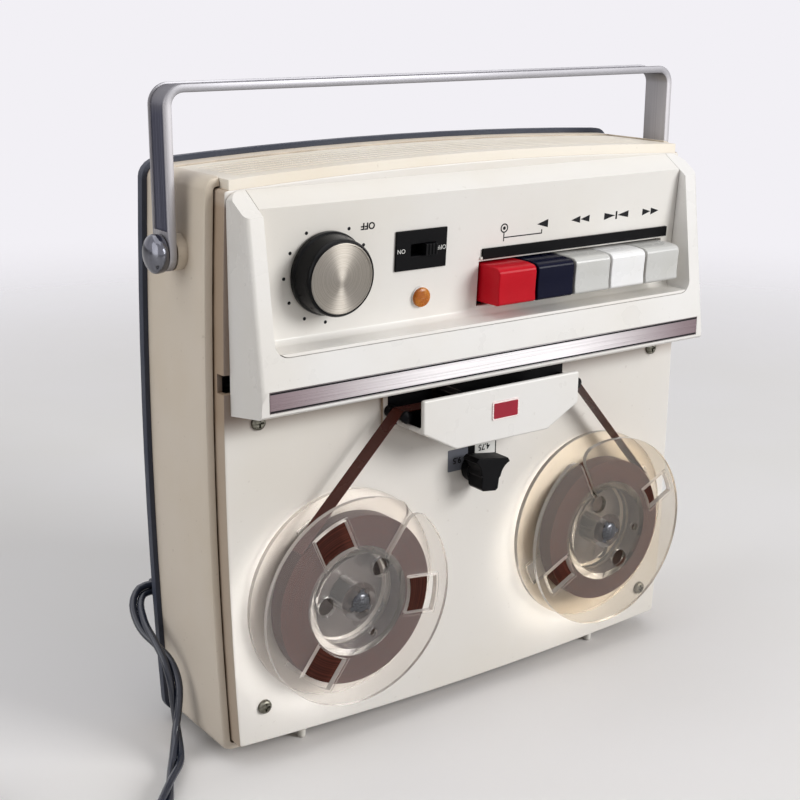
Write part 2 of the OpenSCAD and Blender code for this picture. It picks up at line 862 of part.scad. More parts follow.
// Belts, a little clear of their pulleys: an open loop for the drive, a crossed one for the take-up
belt_t = 1.4;
belt_gap = 0.3;
belt_w = 3;
wrap_n = 24;
function arc(c, r, a0, a1) = [for (i = [0:wrap_n]) c + ray(r, a0 + (a1 - a0) * i / wrap_n)];
function loop(c1, r1, c2, r2) =
  let (d = c2 - c1, a = atan2(d.y, d.x), off = acos((r1 - r2) / norm(d)))
  concat(arc(c1, r1, a + off, a + 360 - off), arc(c2, r2, a - off, a + off));
module open_belt(c1, d1, c2, d2, y) {
  r1 = d1 / 2 + belt_gap;
  r2 = d2 / 2 + belt_gap;
  color(black)
    along_y(y - belt_t / 2, y + belt_t / 2)
      difference() {
        polygon(loop(c1, r1 + belt_t, c2, r2 + belt_t));
        polygon(loop(c1, r1, c2, r2));
      }
}
// The crossed belt's two strands pass each other in two planes, joined by the wraps
module crossed_belt(c1, d1, c2, d2, y) {
  r1 = d1 / 2 + belt_gap;
  r2 = d2 / 2 + belt_gap;
  d = c2 - c1;
  a = atan2(d.y, d.x);
  off = acos((r1 + r2 + belt_t) / norm(d));
  color(black) {
    along_y(y - belt_w / 2, y + belt_w / 2) {
      polygon(concat(arc(c1, r1, a + off, a + 360 - off), arc(c1, r1 + belt_t, a + 360 - off, a + off)));
      polygon(concat(arc(c2, r2, a + off - 180, a + 180 - off),
        arc(c2, r2 + belt_t, a + 180 - off, a + off - 180)));
    }
    for (s = [-1, 1])
      along_y(s < 0 ? y - belt_w / 2 : y + fit, s < 0 ? y - fit : y + belt_w / 2)
        polygon([c1 + ray(r1, a + s * off), c1 + ray(r1 + belt_t, a + s * off),
          c2 - ray(r2, a + s * off), c2 - ray(r2 + belt_t, a + s * off)]);
  }
}
hub_pulley_d = 12;
motor_pulley_d = 8;
module takeup_belt() {
  crossed_belt([capstan_x, capstan_z], hub_pulley_d, [-reel_x, reel_z], takeup_pulley_d, y_belt_b);
}
module drive_belt() {
  open_belt([motor_x, motor_z], motor_pulley_d, [capstan_x, capstan_z], flywheel_d, y_belt_a);
}

// Flywheel with the drive rim and the take-up hub
flywheel_t = 5;
rim_w = 5;
web_t = 3.1;
module flywheel() {
  color(brass)
    difference() {
      union() {
        turned(capstan_x, y_belt_a, capstan_z)
          polygon([[0, -flywheel_t / 2], [flywheel_d / 2, -flywheel_t / 2], [flywheel_d / 2, -1.2],
            [flywheel_d / 2 - groove, 0], [flywheel_d / 2, 1.2], [flywheel_d / 2, flywheel_t / 2],
            [flywheel_d / 2 - rim_w, flywheel_t / 2], [flywheel_d / 2 - rim_w - 1, web_t - flywheel_t / 2],
            [hub_pulley_d / 2 + 2, web_t - flywheel_t / 2],
            [hub_pulley_d / 2 + 1, flywheel_t / 2], [0, flywheel_t / 2]]);
        turned(capstan_x, y_belt_b, capstan_z)
          polygon(pulley_section(hub_pulley_d, pulley_w));
        rod_y(capstan_x, capstan_z, y_belt_b, y_belt_a, hub_pulley_d - 2 * groove);
      }
      rod_y(capstan_x, capstan_z, y_deck, y_chassis, capstan_d + 2 * hair);
    }
}
module capstan_shaft() {
  color(steel)
    rod_y(capstan_x, capstan_z, y_tape - tape_w / 2 - 1.6, y_shaft_end, capstan_d);
}

// Head base, guides and heads
base_t = 1.2;
base_side = 2.6;
base_rise = 5.6;
module head_base() {
  color(cream)
    difference() {
      union() {
        along_y(y_deck - base_t, y_deck)
          polygon([[-takeup_guide - base_side, guide_z + base_rise], [-takeup_guide - base_side, head_shoulder],
            [-head_cover_foot / 2, head_cover_low + fit], [head_cover_foot / 2, head_cover_low + fit],
            [supply_guide + base_side, head_shoulder], [supply_guide + base_side, guide_z + base_rise]]);
        rod_y(arm_x, arm_z, y_arm - arm_t - 0.6, y_deck, arm_pin);
      }
      rod_y(capstan_x, capstan_z, y_deck - 5, y_deck + 1, bush_d + 2 * hair);
    }
}
module tape_guides() {
  color(steel)
    for (x = [-takeup_guide, supply_guide])
      turned(x, y_deck - base_t, guide_z)
        let (a = y_deck - base_t - y_tape - tape_w / 2 - fit, b = a + tape_w + 2 * fit,
          r = guide_r + guide_shoulder)
        polygon([[0, 0], [r, 0], [r, a], [guide_r, a], [guide_r, b], [r, b], [r, b + 1.2], [guide_r - 1, b + 2],
          [0, b + 2]]);
}
module head(x, w, h, d, post) {
  color(steel)
    translate([x, 0, tape_z - tape_t / 2 - run]) {
      along_y(y_tape - d / 2, y_tape + d / 2)
        intersection() {
          translate([-w / 2, -h])
            square([w, h]);
          translate([0, -1.1 * w])
            circle(1.1 * w);
        }
      rod_y(0, -h / 2 - 1, y_tape + d / 2 - hair, y_deck - base_t, post);
    }
}
erase_x = 21.4;
play_x = 5;
module erase_head() head(erase_x, 9, 10, 8, 5);
module play_head() head(play_x, 13, 12, 8.6, 6);

// Pinch roller on its arm
arm_t = 1.2;
arm_pin = 4;
arm_w = 6;
roller_pin = 3;
y_arm = y_deck - base_t - air;
arm_dir = atan2(pinch_z - arm_z, pinch_x - arm_x);
arm_len = norm([pinch_x - arm_x, pinch_z - arm_z]);
y_roller_back = y_tape + tape_w / 2 + 0.6;
y_roller_front = y_tape - tape_w / 2 - 0.6;
module pinch_arm() {
  color(steel)
    difference() {
      union() {
        along_y(y_arm - arm_t, y_arm)
          translate([arm_x, arm_z])
            rotate(arm_dir) {
              translate([0, -arm_w / 2])
                square([arm_len, arm_w]);
              circle(d = arm_w);
              translate([arm_len, 0])
                circle(d = arm_w);
            }
        rod_y(pinch_x, pinch_z, y_roller_front - 1, y_arm, roller_pin);
      }
      rod_y(arm_x, arm_z, y_arm - 5, y_arm + 5, arm_pin + 2 * run);
    }
}
module pinch_roller() {
  color(black)
    difference() {
      turned(pinch_x, y_roller_back, pinch_z)
        let (w = y_roller_back - y_roller_front)
        polygon([[0, 0], [pinch_d / 2 - 0.4, 0], [pinch_d / 2, 0.4], [pinch_d / 2, w - 0.4],
          [pinch_d / 2 - 0.4, w], [0, w]]);
      rod_y(pinch_x, pinch_z, y_roller_front - 1, y_roller_back + 1, roller_pin + 2 * run);
    }
}

// Head cover: front plate with its lower walls running back to the head base
cover_plate = 2;
cover_skin = 1.8;
head_cover_top = z_house_low + toe_rise - 4.1;
head_cover_low = head_cover_top - head_cover_h;
head_shoulder = head_cover_low + 7.9;
y_head_cover = y_front + 0.3;
module head_cover() {
  w = head_cover_w / 2;
  f = head_cover_foot / 2;
  slope = (head_shoulder - head_cover_low) / (w - f);
  lift = cover_skin * sqrt(1 + slope * slope);
  inner_low = head_cover_low + cover_skin;
  inner_f = f + (cover_skin - lift) / slope;
  outer = [[-w, head_cover_top], [-w, head_shoulder], [-f, head_cover_low], [f, head_cover_low],
    [w, head_shoulder], [w, head_cover_top]];
  color(cream) {
    along_y(y_head_cover, y_head_cover + cover_plate)
      polygon(outer);
    along_y(y_head_cover + cover_plate - hair, y_deck - base_t - fit)
      difference() {
        polygon(outer);
        polygon([[-w - 1, head_cover_top + 1], [-w - 1, head_shoulder + lift + slope],
          [-inner_f, inner_low], [inner_f, inner_low],
          [w + 1, head_shoulder + lift + slope], [w + 1, head_cover_top + 1]]);
      }
  }
}

// Motor behind the chassis, its pulley in front
motor_d = 27;
motor_len = 26;
motor_shaft = 2;
module drive_motor() {
  color(steel)
    difference() {
      turned(motor_x, y_chassis_back + motor_len, motor_z)
        polygon([[0, 0], [motor_d / 2 - 1.5, 0], [motor_d / 2, 1.5],
          [motor_d / 2, motor_len], [0, motor_len]]);
      rod_y(motor_x, motor_z, y_chassis_back - 1, y_chassis_back + 12, motor_shaft + 2 * run);
    }
}
module motor_pulley() {
  color(brass) {
    turned(motor_x, y_belt_a, motor_z)
      polygon(pulley_section(motor_pulley_d, pulley_w));
    rod_y(motor_x, motor_z, y_belt_a, y_chassis_back + 10, motor_shaft);
  }
}

// Speed selector: flared paddle on a hub, turned to one of its two places
selector_proj = 12;
selector_rest = -8;
selector_h = 12.5;
selector_top_w = 18;
selector_foot_w = 8;
module speed_knob() {
  color(black) {
    translate([0, 0, selector_z])
      rotate([0, -selector_rest, 0]) {
        along_y(y_deck - selector_proj, y_deck - 4)
          difference() {
            polygon([[-selector_top_w / 2, selector_h / 2 - 2.5], [-selector_top_w / 2 + 2, selector_h / 2],
              [selector_top_w / 2 - 2, selector_h / 2], [selector_top_w / 2, selector_h / 2 - 2.5],
              [selector_foot_w / 2, -selector_h / 2 + 5], [selector_foot_w / 2, -selector_h / 2 + 1],
              [selector_foot_w / 2 - 1, -selector_h / 2], [-selector_foot_w / 2 + 1, -selector_h / 2],
              [-selector_foot_w / 2, -selector_h / 2 + 1], [-selector_foot_w / 2, -selector_h / 2 + 5]]);
            for (s = [-1, 1])
              translate([s * (selector_foot_w / 2 + 6.6), -selector_h / 2 + 5.5])
                circle(6);
          }
        rod_y(0, 0, y_deck - 4 - hair, y_deck - air, selector_h - 2);
      }
    rod_y(0, selector_z, y_deck - 4, y_deck_back + 3, selector_shaft);
  }
}

// Volume control
knob_lift = 0.6;
cap_d = 23.6;
cap_sink = 0.8;
shaft_in_knob = 6.4;
pot_d = 17;
pot_t = 8;
module volume_knob() {
  color(black)
    on_panel(knob_x, knob_z)
      difference() {
        turned(0, -knob_lift, 0)
          polygon([[0, 0], [knob_d / 2, 0], [knob_d / 2, 1.8], [knob_d / 2 - 0.6, 2.4],
            [knob_d / 2 - 1.2, knob_h - 0.8], [knob_d / 2 - 1.8, knob_h], [cap_d / 2 + hair, knob_h],
            [cap_d / 2 + hair, knob_h - cap_sink], [0, knob_h - cap_sink]]);
        rod_y(0, 0, -knob_lift - shaft_in_knob, 1, shaft_bore + 2 * hair);
        rod_y(0, 0, -knob_lift - 2.2, 1, pot_bush_d + 2 * air);
      }
}
module knob_cap() {
  color(alu)
    on_panel(knob_x, knob_z)
      turned(0, -knob_lift - knob_h + cap_sink - hair, 0)
        polygon([[0, 0], [cap_d / 2, 0], [cap_d / 2, cap_sink - 0.2], [cap_d / 2 - 0.3, cap_sink],
          [3, cap_sink - 0.3], [0, cap_sink - 0.3]]);
}
module volume_shaft() {
  color(steel)
    on_panel(knob_x, knob_z)
      rod_y(0, 0, -knob_lift - shaft_in_knob + fit, panel_t + pot_t - 1, shaft_bore);
}
module volume_pot() {
  color(steel)
    on_panel(knob_x, knob_z)
      difference() {
        union() {
          rod_y(0, 0, -knob_lift - 1.8, panel_t + 1, pot_bush_d);
          rod_y(0, 0, panel_t + air / 2, panel_t + pot_t, pot_d);
          block(-5, 5, panel_t + 2, panel_t + 3.2, -pot_d / 2 - 5, 0);
        }
        rod_y(0, 0, -5, panel_t + pot_t - 1 + fit, shaft_bore + 2 * run);
      }
}

// Slide switch: plate with its body, slider in a channel
switch_plate_w = 21.4;
switch_plate_h = 13.8;
switch_plate_t = 0.8;
switch_body_w = 16;
switch_body_h = 9;
switch_body_d = 6;
switch_travel = 5;
slider_w = 5;
slider_h = 4;
slider_off = 3.2;
module switch_plate() {
  color(black)
    on_panel(switch_x, switch_z)
      difference() {
        union() {
          block(-switch_plate_w / 2, switch_plate_w / 2, -switch_plate_t, -hair,
            -switch_plate_h / 2, switch_plate_h / 2);
          block(-switch_body_w / 2, switch_body_w / 2, -2 * hair, switch_body_d,
            -switch_body_h / 2, switch_body_h / 2);
        }
        block(slider_off - switch_travel - slider_w / 2 - fit, slider_off + slider_w / 2 + fit, -2,
          switch_body_d - 2, -slider_h / 2 - fit / 2, slider_h / 2 + fit / 2);
      }
}
module switch_slider() {
  color("#2a2a2d")
    on_panel(switch_x, switch_z)
      difference() {
        block(slider_off - slider_w / 2, slider_off + slider_w / 2, -2.4, switch_body_d - 2 - fit,
          -slider_h / 2, slider_h / 2);
        for (i = [-1:1])
          block(slider_off + i * 1.4 - 0.3, slider_off + i * 1.4 + 0.3, -3, -2, -slider_h, slider_h);
      }
}

// Pilot lamp: thin rim on the panel, lens head in front of it
lamp_rim = 0.5;
lens_show = 0.35;
module lamp_holder() {
  color(cream)
    on_panel(lamp_x, lamp_z)
      difference() {
        union() {
          rod_y(0, 0, -lamp_rim, -hair, lamp_d);
          rod_y(0, 0, -lamp_rim / 2, 9, lamp_d - 1);
        }
        rod_y(0, 0, -2, 7, lamp_d - 2.2);
      }
}
module lamp_lens() {
  stem = lamp_d / 2 - 1.1 - hair;
  head = lamp_d / 2 - lens_show;
  base = 5 + lamp_rim + hair;
  color("#d98a1e")
    on_panel(lamp_x, lamp_z)
      turned(0, 5, 0)
        polygon([[0, 0], [stem, 0], [stem, base], [head, base], [head, base + 0.6], [head - 0.25, base + 1],
          [0.7 * head, base + 1.3], [0.35 * head, base + 1.45], [0, base + 1.5]]);
}

// Piano keys: moulded cap in front, lever behind the panel down to the common shaft
key_back = y_deck + 0.7;
lever_w = 6;
lever_boss = 8.4;
boss_len = 9;
key_press = 9;
module key(i, tint) {
  x0 = keys_x0 + i * key_pitch + key_gap / 2;
  x1 = x0 + key_pitch - key_gap;
  xm = (x0 + x1) / 2;
  color(tint)
    difference() {
      union() {
        along_x(x0, x1)
          polygon([[key_back, key_low], [key_front + 1.2, key_low], [key_front + 0.3, key_low + 0.8],
            [key_front + 0.55, key_low + 4], [key_front + 0.35, key_low + 7.5], [key_front, key_top - 2.6],
            [key_front + 0.4, key_top - 1.3], [key_front + 1.6, key_top - 0.5], [key_front + 4.5, key_top - 0.1],
            [key_front + 9, key_top], [key_back, key_top]]);
        along_x(xm - lever_w / 2, xm + lever_w / 2)
          polygon([[key_back, key_top - 2], [lever_front, key_top - 2], [lever_front, key_pivot_z + 6],
            [key_pivot_y, key_pivot_z + lever_boss / 2], [key_pivot_y, key_pivot_z - lever_boss / 2],
            [key_back - 1, key_pivot_z], [key_back, key_pivot_z + 6]]);
        rod_x(key_pivot_y, key_pivot_z, xm - boss_len / 2, xm + boss_len / 2, lever_boss);
      }
      rod_x(key_pivot_y, key_pivot_z, x0 - 1, x1 + 1, key_shaft_d + 2 * run);
    }
}
module key_record() key(0, "#c8141c");
module key_play() key(1, "#0d1230");
module key_forward() key(2, "#d4d4cc");
module key_stop() key(3, "#f6f6f2");
module key_rewind() key(4, "#d4d4cc");

ear_t = 1.2;
ear_gap = 4;
module key_shaft() {
  color(steel)
    rod_x(key_pivot_y, key_pivot_z, keys_x0 - ear_gap - ear_t, keys_x1 + ear_gap + ear_t, key_shaft_d);
}
module key_frame() {
  low = z_house_low + housing_wall + 4 * air;
  color(steel)
    difference() {
      union() {
        block(keys_x0 - ear_gap - ear_t, keys_x1 + ear_gap + ear_t, y_deck - ear_t, y_deck, low, window_low);
        for (x = [keys_x0 - ear_gap - ear_t, keys_x1 + ear_gap])
          along_x(x, x + ear_t) {
            polygon([[y_deck, low], [y_deck, window_low], [key_pivot_y, key_pivot_z + 4],
              [key_pivot_y - 4, key_pivot_z], [y_deck - 4, low]]);
            translate([key_pivot_y, key_pivot_z])
              circle(4);
          }
      }
      rod_x(key_pivot_y, key_pivot_z, keys_x0 - 10, keys_x1 + 10, key_shaft_d + 2 * hair);
    }
}

// Tube swept along points, with a frame carried along so that it doesn't twist
function unit(v) = v / norm(v);
function tangents(p) = [for (i = [0:len(p) - 1]) unit(p[min(i + 1, len(p) - 1)] - p[max(i - 1, 0)])];
function carried(t, u0) = [for (i = 0, u = u0; i < len(t); i = i + 1,
  u = i < len(t) ? unit(u - t[i] * (u * t[i])) : u) unit(u - t[i] * (u * t[i]))];
function rings(p, r, n, u0) =
  let (t = tangents(p), u = carried(t, u0))
  [for (i = [0:len(p) - 1], k = [0:n - 1])
    p[i] + r * (cos(360 * k / n) * u[i] + sin(360 * k / n) * cross(t[i], u[i]))];
module swept(p, r, n, u0) {
  m = len(p);
  polyhedron(concat(rings(p, r, n, u0), [p[0], p[m - 1]]), concat(
    [for (i = [0:m - 2], k = [0:n - 1]) [i * n + k, i * n + (k + 1) % n, (i + 1) * n + k]],
    [for (i = [0:m - 2], k = [0:n - 1]) [i * n + (k + 1) % n, (i + 1) * n + (k + 1) % n, (i + 1) * n + k]],
    [for (k = [0:n - 1]) [m * n, (k + 1) % n, k]],
    [for (k = [0:n - 1]) [m * n + 1, (m - 1) * n + k, (m - 1) * n + (k + 1) % n]]));
}

// Torsion springs on the key shaft, one beside each lever
spring_wire = 0.7;
spring_turns = 3;
spring_step = 1.1;
spring_leg = 7;
module key_springs() {
  r = key_shaft_d / 2 + spring_wire / 2 + 0.3;
  n = 8;
  color(brass)
    for (i = [0:4]) {
      x = keys_x0 + (i + 0.5) * key_pitch + boss_len / 2 + 0.6 + spring_wire / 2;
      start = [x, key_pivot_y + spring_leg, key_pivot_z - r];
      coil = [for (k = [0:n * spring_turns]) let (a = -90 - 360 * k / n)
        [x + spring_step * k / n, key_pivot_y + r * cos(a), key_pivot_z + r * sin(a)]];
      swept(concat([start], coil), spring_wire / 2, 6, [0, 0, 1]);
    }
}

// Steel chassis with the posts that carry the deck
chassis_top = z_top - 31;
deck_post_d = 7;
module chassis() {
  color(steel)
    difference() {
      union() {
        difference() {
          intersection() {
            slab(wall + air, y_chassis, y_chassis_back);
            block(-case_w, case_w, y_chassis - 1, y_back, 0, chassis_top);
          }
          at_posts()
            rod_y(0, 0, y_chassis - 1, y_back, post_d + 2 * air);
        }
        at_deck_screws()
          rod_y(0, 0, y_deck_back, y_chassis + hair, deck_post_d);
      }
      at_deck_screws()
        rod_y(0, 0, y_deck_back - 1, y_chassis_back + 1, screw_shank + 2 * hair);
      at_seats()
        rod_y(0, 0, y_chassis - 1, y_chassis_back + 1, screw_shank + 2 * fit);
      for (s = [-1, 1])
        rod_y(s * reel_x, reel_z, y_chassis - 1, y_chassis_back + 1, bush_d + 2 * hair);
      rod_y(capstan_x, capstan_z, y_chassis - 1, y_chassis_back + 1, bush_d + 2 * hair);
      rod_y(motor_x, motor_z, y_chassis - 1, y_chassis_back + 1, motor_pulley_d + 2);
    }
}

// Oval loudspeaker under the grille, facing up
speaker_w = 70;
speaker_d = 28;
speaker_flange = 1.4;
basket_h = 11;
magnet_d = 24;
magnet_h = 9;
module oval(w, d, h) {
  hull()
    for (s = [-1, 1])
      translate([s * (w - d) / 2, 0, 0])
        cylinder(d = d, h = h, $fn = 32);
}
module loudspeaker() {
  z_seat = crown_z(speaker_w / 2) - wall - grille_flange_t - fit;
  y_mid = (y_ledge + grille_y1 + grille_lip) / 2;
  color("#3a3a3a")
    translate([0, y_mid, z_seat - speaker_flange])
      difference() {
        union() {
          oval(speaker_w, speaker_d, speaker_flange);
          hull() {
            translate([0, 0, -1])
              oval(speaker_w - 8, speaker_d - 6, 1 + hair);
            translate([0, 0, -basket_h])
              cylinder(d = magnet_d, h = 1, $fn = 32);
          }
          translate([0, 0, -basket_h - magnet_h])
            cylinder(d = magnet_d, h = magnet_h + hair);
        }
        hull() {
          translate([0, 0, speaker_flange])
            oval(speaker_w - 12, speaker_d - 9, 1);
          translate([0, 0, -basket_h + 4])
            cylinder(d = 10, h = 1, $fn = 32);
        }
      }
}

// Amplifier board on standoffs behind the chassis, with its parts
board_side = 14;
board_mid = 8;
board_low = 20;
board_top = 6;
board_lift = 9;
board_t = 1.6;
standoff_in = 5;
standoff_d = 5;
can_d = 10;
can_h = 12;
can_pitch = 16;
film_d = 6;
film_pitch = 14;
coil_can = 20;
coil_can_h = 13;
coil_can_pitch = 34;
board_x0 = -case_w / 2 + board_side;
board_x1 = -board_mid;
board_z0 = reel_z + board_low;
board_z1 = chassis_top - board_top;
y_board = y_chassis_back + board_lift;
module amp_board() {
  face = y_board + board_t;
  color("#7a5a2c") {
    block(board_x0, board_x1, y_board, y_board + board_t, board_z0, board_z1);
    for (x = [board_x0, board_x1], z = [board_z0, board_z1])
      rod_y(x + (x > board_x0 ? -1 : 1) * standoff_in, z + (z > board_z0 ? -1 : 1) * standoff_in, y_chassis_back,
        y_board + hair, standoff_d);
    for (i = [0:2])
      rod_y(board_x0 + board_side + can_pitch * i, board_z1 - board_side, face - hair, face + can_h, can_d);
    for (i = [0:3])
      rod_y(board_x0 + can_d + film_pitch * i, board_z0 + coil_can_pitch, face - hair, face + film_d, film_d);
    for (i = [0:1])
      translate([board_x0 + standoff_in + standoff_d / 2 + fit + coil_can_pitch * i, face - hair,
        board_z0 + standoff_in])
        cube([coil_can, coil_can_h, coil_can]);
  }
}

// Power transformer: laminated core round a wound bobbin
core_w = 36;
core_h = 30;
core_d = 14;
coil_out = 25;
core_side = 38;
core_drop = 34;
module power_transformer() {
  x = case_w / 2 - core_side;
  z = chassis_top - core_drop;
  y = y_chassis_back + coil_out / 2;
  color("#6b5a4a") {
    block(x - core_w / 2, x + core_w / 2, y - core_d / 2, y + core_d / 2, z - core_h / 2, z + core_h / 2);
    translate([x, y, z])
      cube([core_w - 12, coil_out, core_h - 10], center = true);
  }
}

// Battery box: open tray with two partitions
box_w = 156;
box_h = 33;
box_wall = 1.6;
module battery_box() {
  z0 = z_low + 8;
  y1 = y_back - 2;
  color(black)
    difference() {
      block(-box_w / 2, box_w / 2, y_chassis_back, y1, z0, z0 + box_h);
      for (i = [0:2])
        block(-box_w / 2 + box_wall + i * (box_w - box_wall) / 3, -box_w / 2 + (i + 1) * (box_w - box_wall) / 3,
          y_chassis_back + box_wall, y1 + 1, z0 + box_wall, z0 + box_h - box_wall);
    }
}

// Strap handle: arms, bar and round corners, with a shallow channel in the outer face
strap_corner = 7;
channel_w = 7.6;
channel_d = 0.5;
strap_top = pivot_z + strap_rise;
module strap_path(t0, t1) {
  x = strap_out - strap_corner;
  z = strap_top - strap_corner;
  for (s = [-1, 1]) {
    translate([s * x, z])
      intersection() {
        difference() {
          circle(strap_corner - t0);
          circle(strap_corner - t1);
        }
        translate([s > 0 ? 0 : -strap_corner - 1, 0])
          square(strap_corner + 1);
      }
    translate([s > 0 ? strap_out - t1 : -strap_out + t0, pivot_z])
      square([t1 - t0, z - pivot_z]);
  }
  translate([-x, strap_top - t1])
    square([2 * x, t1 - t0]);
}
module handle() {
  color(alu)
    difference() {
      union() {
        along_y(pivot_y - strap_w / 2, pivot_y + strap_w / 2)
          strap_path(0, strap_t);
        for (s = [-1, 1])
          rod_x(pivot_y, pivot_z, s > 0 ? strap_in : -strap_out, s > 0 ? strap_out : -strap_in, strap_w);
      }
      difference() {
        along_y(pivot_y - channel_w / 2, pivot_y + channel_w / 2)
          strap_path(-1, channel_d);
        block(-2 * case_w, 2 * case_w, y_front, y_rear, pivot_z - 1, pivot_z + dome_d / 2 + 1);
      }
      rod_x(pivot_y, pivot_z, -2 * case_w, 2 * case_w, pivot_d + 2 * run);
    }
}
dome_h = 5.4;
dome_edge = 2.2;
module handle_pivots() {
  color("#d8dadd")
    for (s = [-1, 1])
      mirror([s < 0 ? 1 : 0, 0, 0]) {
        translate([strap_out + fit, pivot_y, pivot_z])
          rotate([0, 90, 0])
            rotate_extrude()
              polygon(concat([[0, 0], [dome_d / 2 - 0.2, 0]],
                [for (a = [0:15:90]) [dome_d / 2 * cos(a), dome_edge + (dome_h - dome_edge) * sin(a)]]));
        rod_x(pivot_y, pivot_z, strap_in - strap_gap - wall - boss_depth + 1, strap_out + fit + hair, pivot_d);
      }
}

// Deck, cover and chassis screws
head_h = 1.4;
module pan_screw(y0, y1, head) {
  turned(0, y0, 0)
    polygon([[0, -hair], [head / 2, -hair], [head / 2 - 0.2, head_h * 0.7],
      [head / 2 - 1, head_h], [0, head_h]]);
  rod_y(0, 0, y0, y1, screw_shank);
}
module screws() {
  color(steel) {
    at_deck_screws()
      pan_screw(y_deck - 2 * hair, y_chassis - 2, screw_head);
    at_posts()
      mirror([0, 1, 0])
        pan_screw(-y_rear + cover_wall - 2 * hair, -y_back + 8, screw_head);
    at_seats()
      mirror([0, 1, 0])
        pan_screw(-y_chassis_back - 2 * hair, -y_ledge - fit, screw_head);
  }
}

// Cord gland on the back cover, with a tapered strain relief along the wall
gland_stem = 5;
gland_w = 13;
gland_h = 13;
gland_proj = 8;
relief_len = 20;
relief_d = 8.4;
cord_y = y_rear + gland_proj / 2 + 0.4;
relief_end = gland_x - gland_w / 2 - relief_len;
module cord_gland() {
  color(black) {
    translate([0, 0, gland_z]) {
      along_y(y_rear + hair, y_rear + gland_proj)
        translate([gland_x, 0])
          intersection() {
            square([gland_w, gland_h], center = true);
            circle(d = 1.25 * gland_w);
          }
      rod_y(gland_x, 0, y_rear - cover_wall, y_rear + 1, gland_stem);
    }
    translate([gland_x - gland_w / 2 + hair, cord_y, gland_z])
      rotate([0, -90, 0])
        cylinder(d1 = relief_d, d2 = cord_d + 1.2, h = relief_len + hair);
  }
}

tie_t = 0.6;

// Cord route, from the strain relief round the left edge of the back cover, down to the floor and to the coil
cord_low = cord_d / 2 + fit;
cord_floor = cord_d / 2 + tie_t + air;
coil_c = [-231, 8];
coil_pitch = cord_d + coil_gap;
coil_out_r = coil_in + coil_turns * coil_pitch;
coil_start = 270;
cord_points = [
  [relief_end, cord_y, gland_z], [-109, 38.6, 49.5], [-112.8, 35, 46.3], [-114, 28, 41], [-113, 20, 37],
  [-112, 13, 32.5], [-111.5, 9, 25.5], [-112, 7.5, 17.5], [-113, 6, 10], [-115.5, 1, 5], [-119, -5, cord_low],
  [-126, -15, cord_low], [-133, -25, cord_low], [-139, -31.2, cord_low], [-147, -34.6, cord_low],
  [-158, -35.6, cord_low], [-174, -36.2, cord_low], [-192, -36.8, cord_floor], [-210, -37, cord_floor]];

// Coil: spirals in on the floor, climbs in the half turn where it reverses, spirals out, then steps down
coil_n = 24;
coil_half = coil_turns * coil_n;
tail_n = 6;
tail_flare = 7;
function smooth(s) = s * s * (3 - 2 * s);
function clamp(s) = min(max(s, 0), 1);
function coil_r(k) = coil_in + coil_pitch * abs(k - coil_half) / coil_n
  + tail_flare * smooth(clamp((k - 2 * coil_half) / tail_n * 1.4));
function coil_z(k) = cord_floor + coil_pitch * smooth(clamp((k - coil_half + coil_n / 4) / (coil_n / 2)))
  - coil_pitch * smooth(clamp((k - 2 * coil_half - 0.2 * tail_n) / tail_n / 0.6));
function coil_point(k) = [coil_c.x + coil_r(k) * cos(coil_start - 360 * k / coil_n),
  coil_c.y + coil_r(k) * sin(coil_start - 360 * k / coil_n), coil_z(k)];
coil_points = [for (k = [0:2 * coil_half + tail_n]) coil_point(k)];
function straight_on(p, q, d) = q + unit(q - p) * d;
coil_line = concat([straight_on(coil_points[1], coil_points[0], cord_d)], coil_points,
  [straight_on(coil_points[len(coil_points) - 2], coil_points[len(coil_points) - 1], cord_d)]);
function length_of(p) = [for (i = 1, s = norm(p[1] - p[0]); i < len(p); i = i + 1,
  s = i < len(p) ? s + norm(p[i] - p[i - 1]) : s) s][len(p) - 2];
function self_gap(p, skip) =
  min([for (i = [0:len(p) - 1]) for (j = [i + skip:1:len(p) - 1]) norm(p[i] - p[j])]) - cord_d;
module cord_run() {
  color(black)
    swept(concat(cord_points, [coil_line[0]]), cord_d / 2, 8, [0, 0, 1]);
}
module cord_coil() {
  echo(least_gap = self_gap(coil_points, coil_n / 2),
    cord_length = length_of(cord_points) + length_of(coil_line));
  color(black)
    swept(coil_line, cord_d / 2, 6, [0, 0, 1]);
}
tie_w = 4;
module cord_tie() {
  w = coil_out_r - coil_in + cord_d + 2 * air;
  h = cord_d + coil_pitch + 2 * air;
  color("#3c3c40")
    translate([coil_c.x, coil_c.y, cord_floor - cord_d / 2 - air])
      rotate([0, 0, 90])
        translate([coil_in - cord_d / 2 - air, 0, 0])
          rotate([90, 0, 0])
            linear_extrude(tie_w, center = true)
              difference() {
                translate([-tie_t, -tie_t])
                  square([w + 2 * tie_t, h + 2 * tie_t]);
                square([w, h]);
              }
}
plug_len = 26;
plug_w = 20;
plug_t = 12;
pin_len = 17;
module plug() {
  p = coil_line[len(coil_line) - 1];
  d = unit(p - coil_line[len(coil_line) - 2]);
  color(black)
    translate([p.x, p.y, p.z])
      rotate([0, 0, atan2(d.y, d.x)]) {
        rotate([0, 90, 0])
          cylinder(d1 = cord_d + 1, d2 = cord_d + 1.4, h = 9);
        translate([8, -plug_w / 2, -plug_t / 2 + plug_lift])
          cube([plug_len - 8, plug_w, plug_t]);
        for (s = [-1, 1])
          translate([plug_len - hair, s * 6.35 - 0.75, -3.1 + plug_lift])
            cube([pin_len, 1.5, 6.2]);
      }
}
plug_lift = plug_t / 2 - cord_floor + fit;

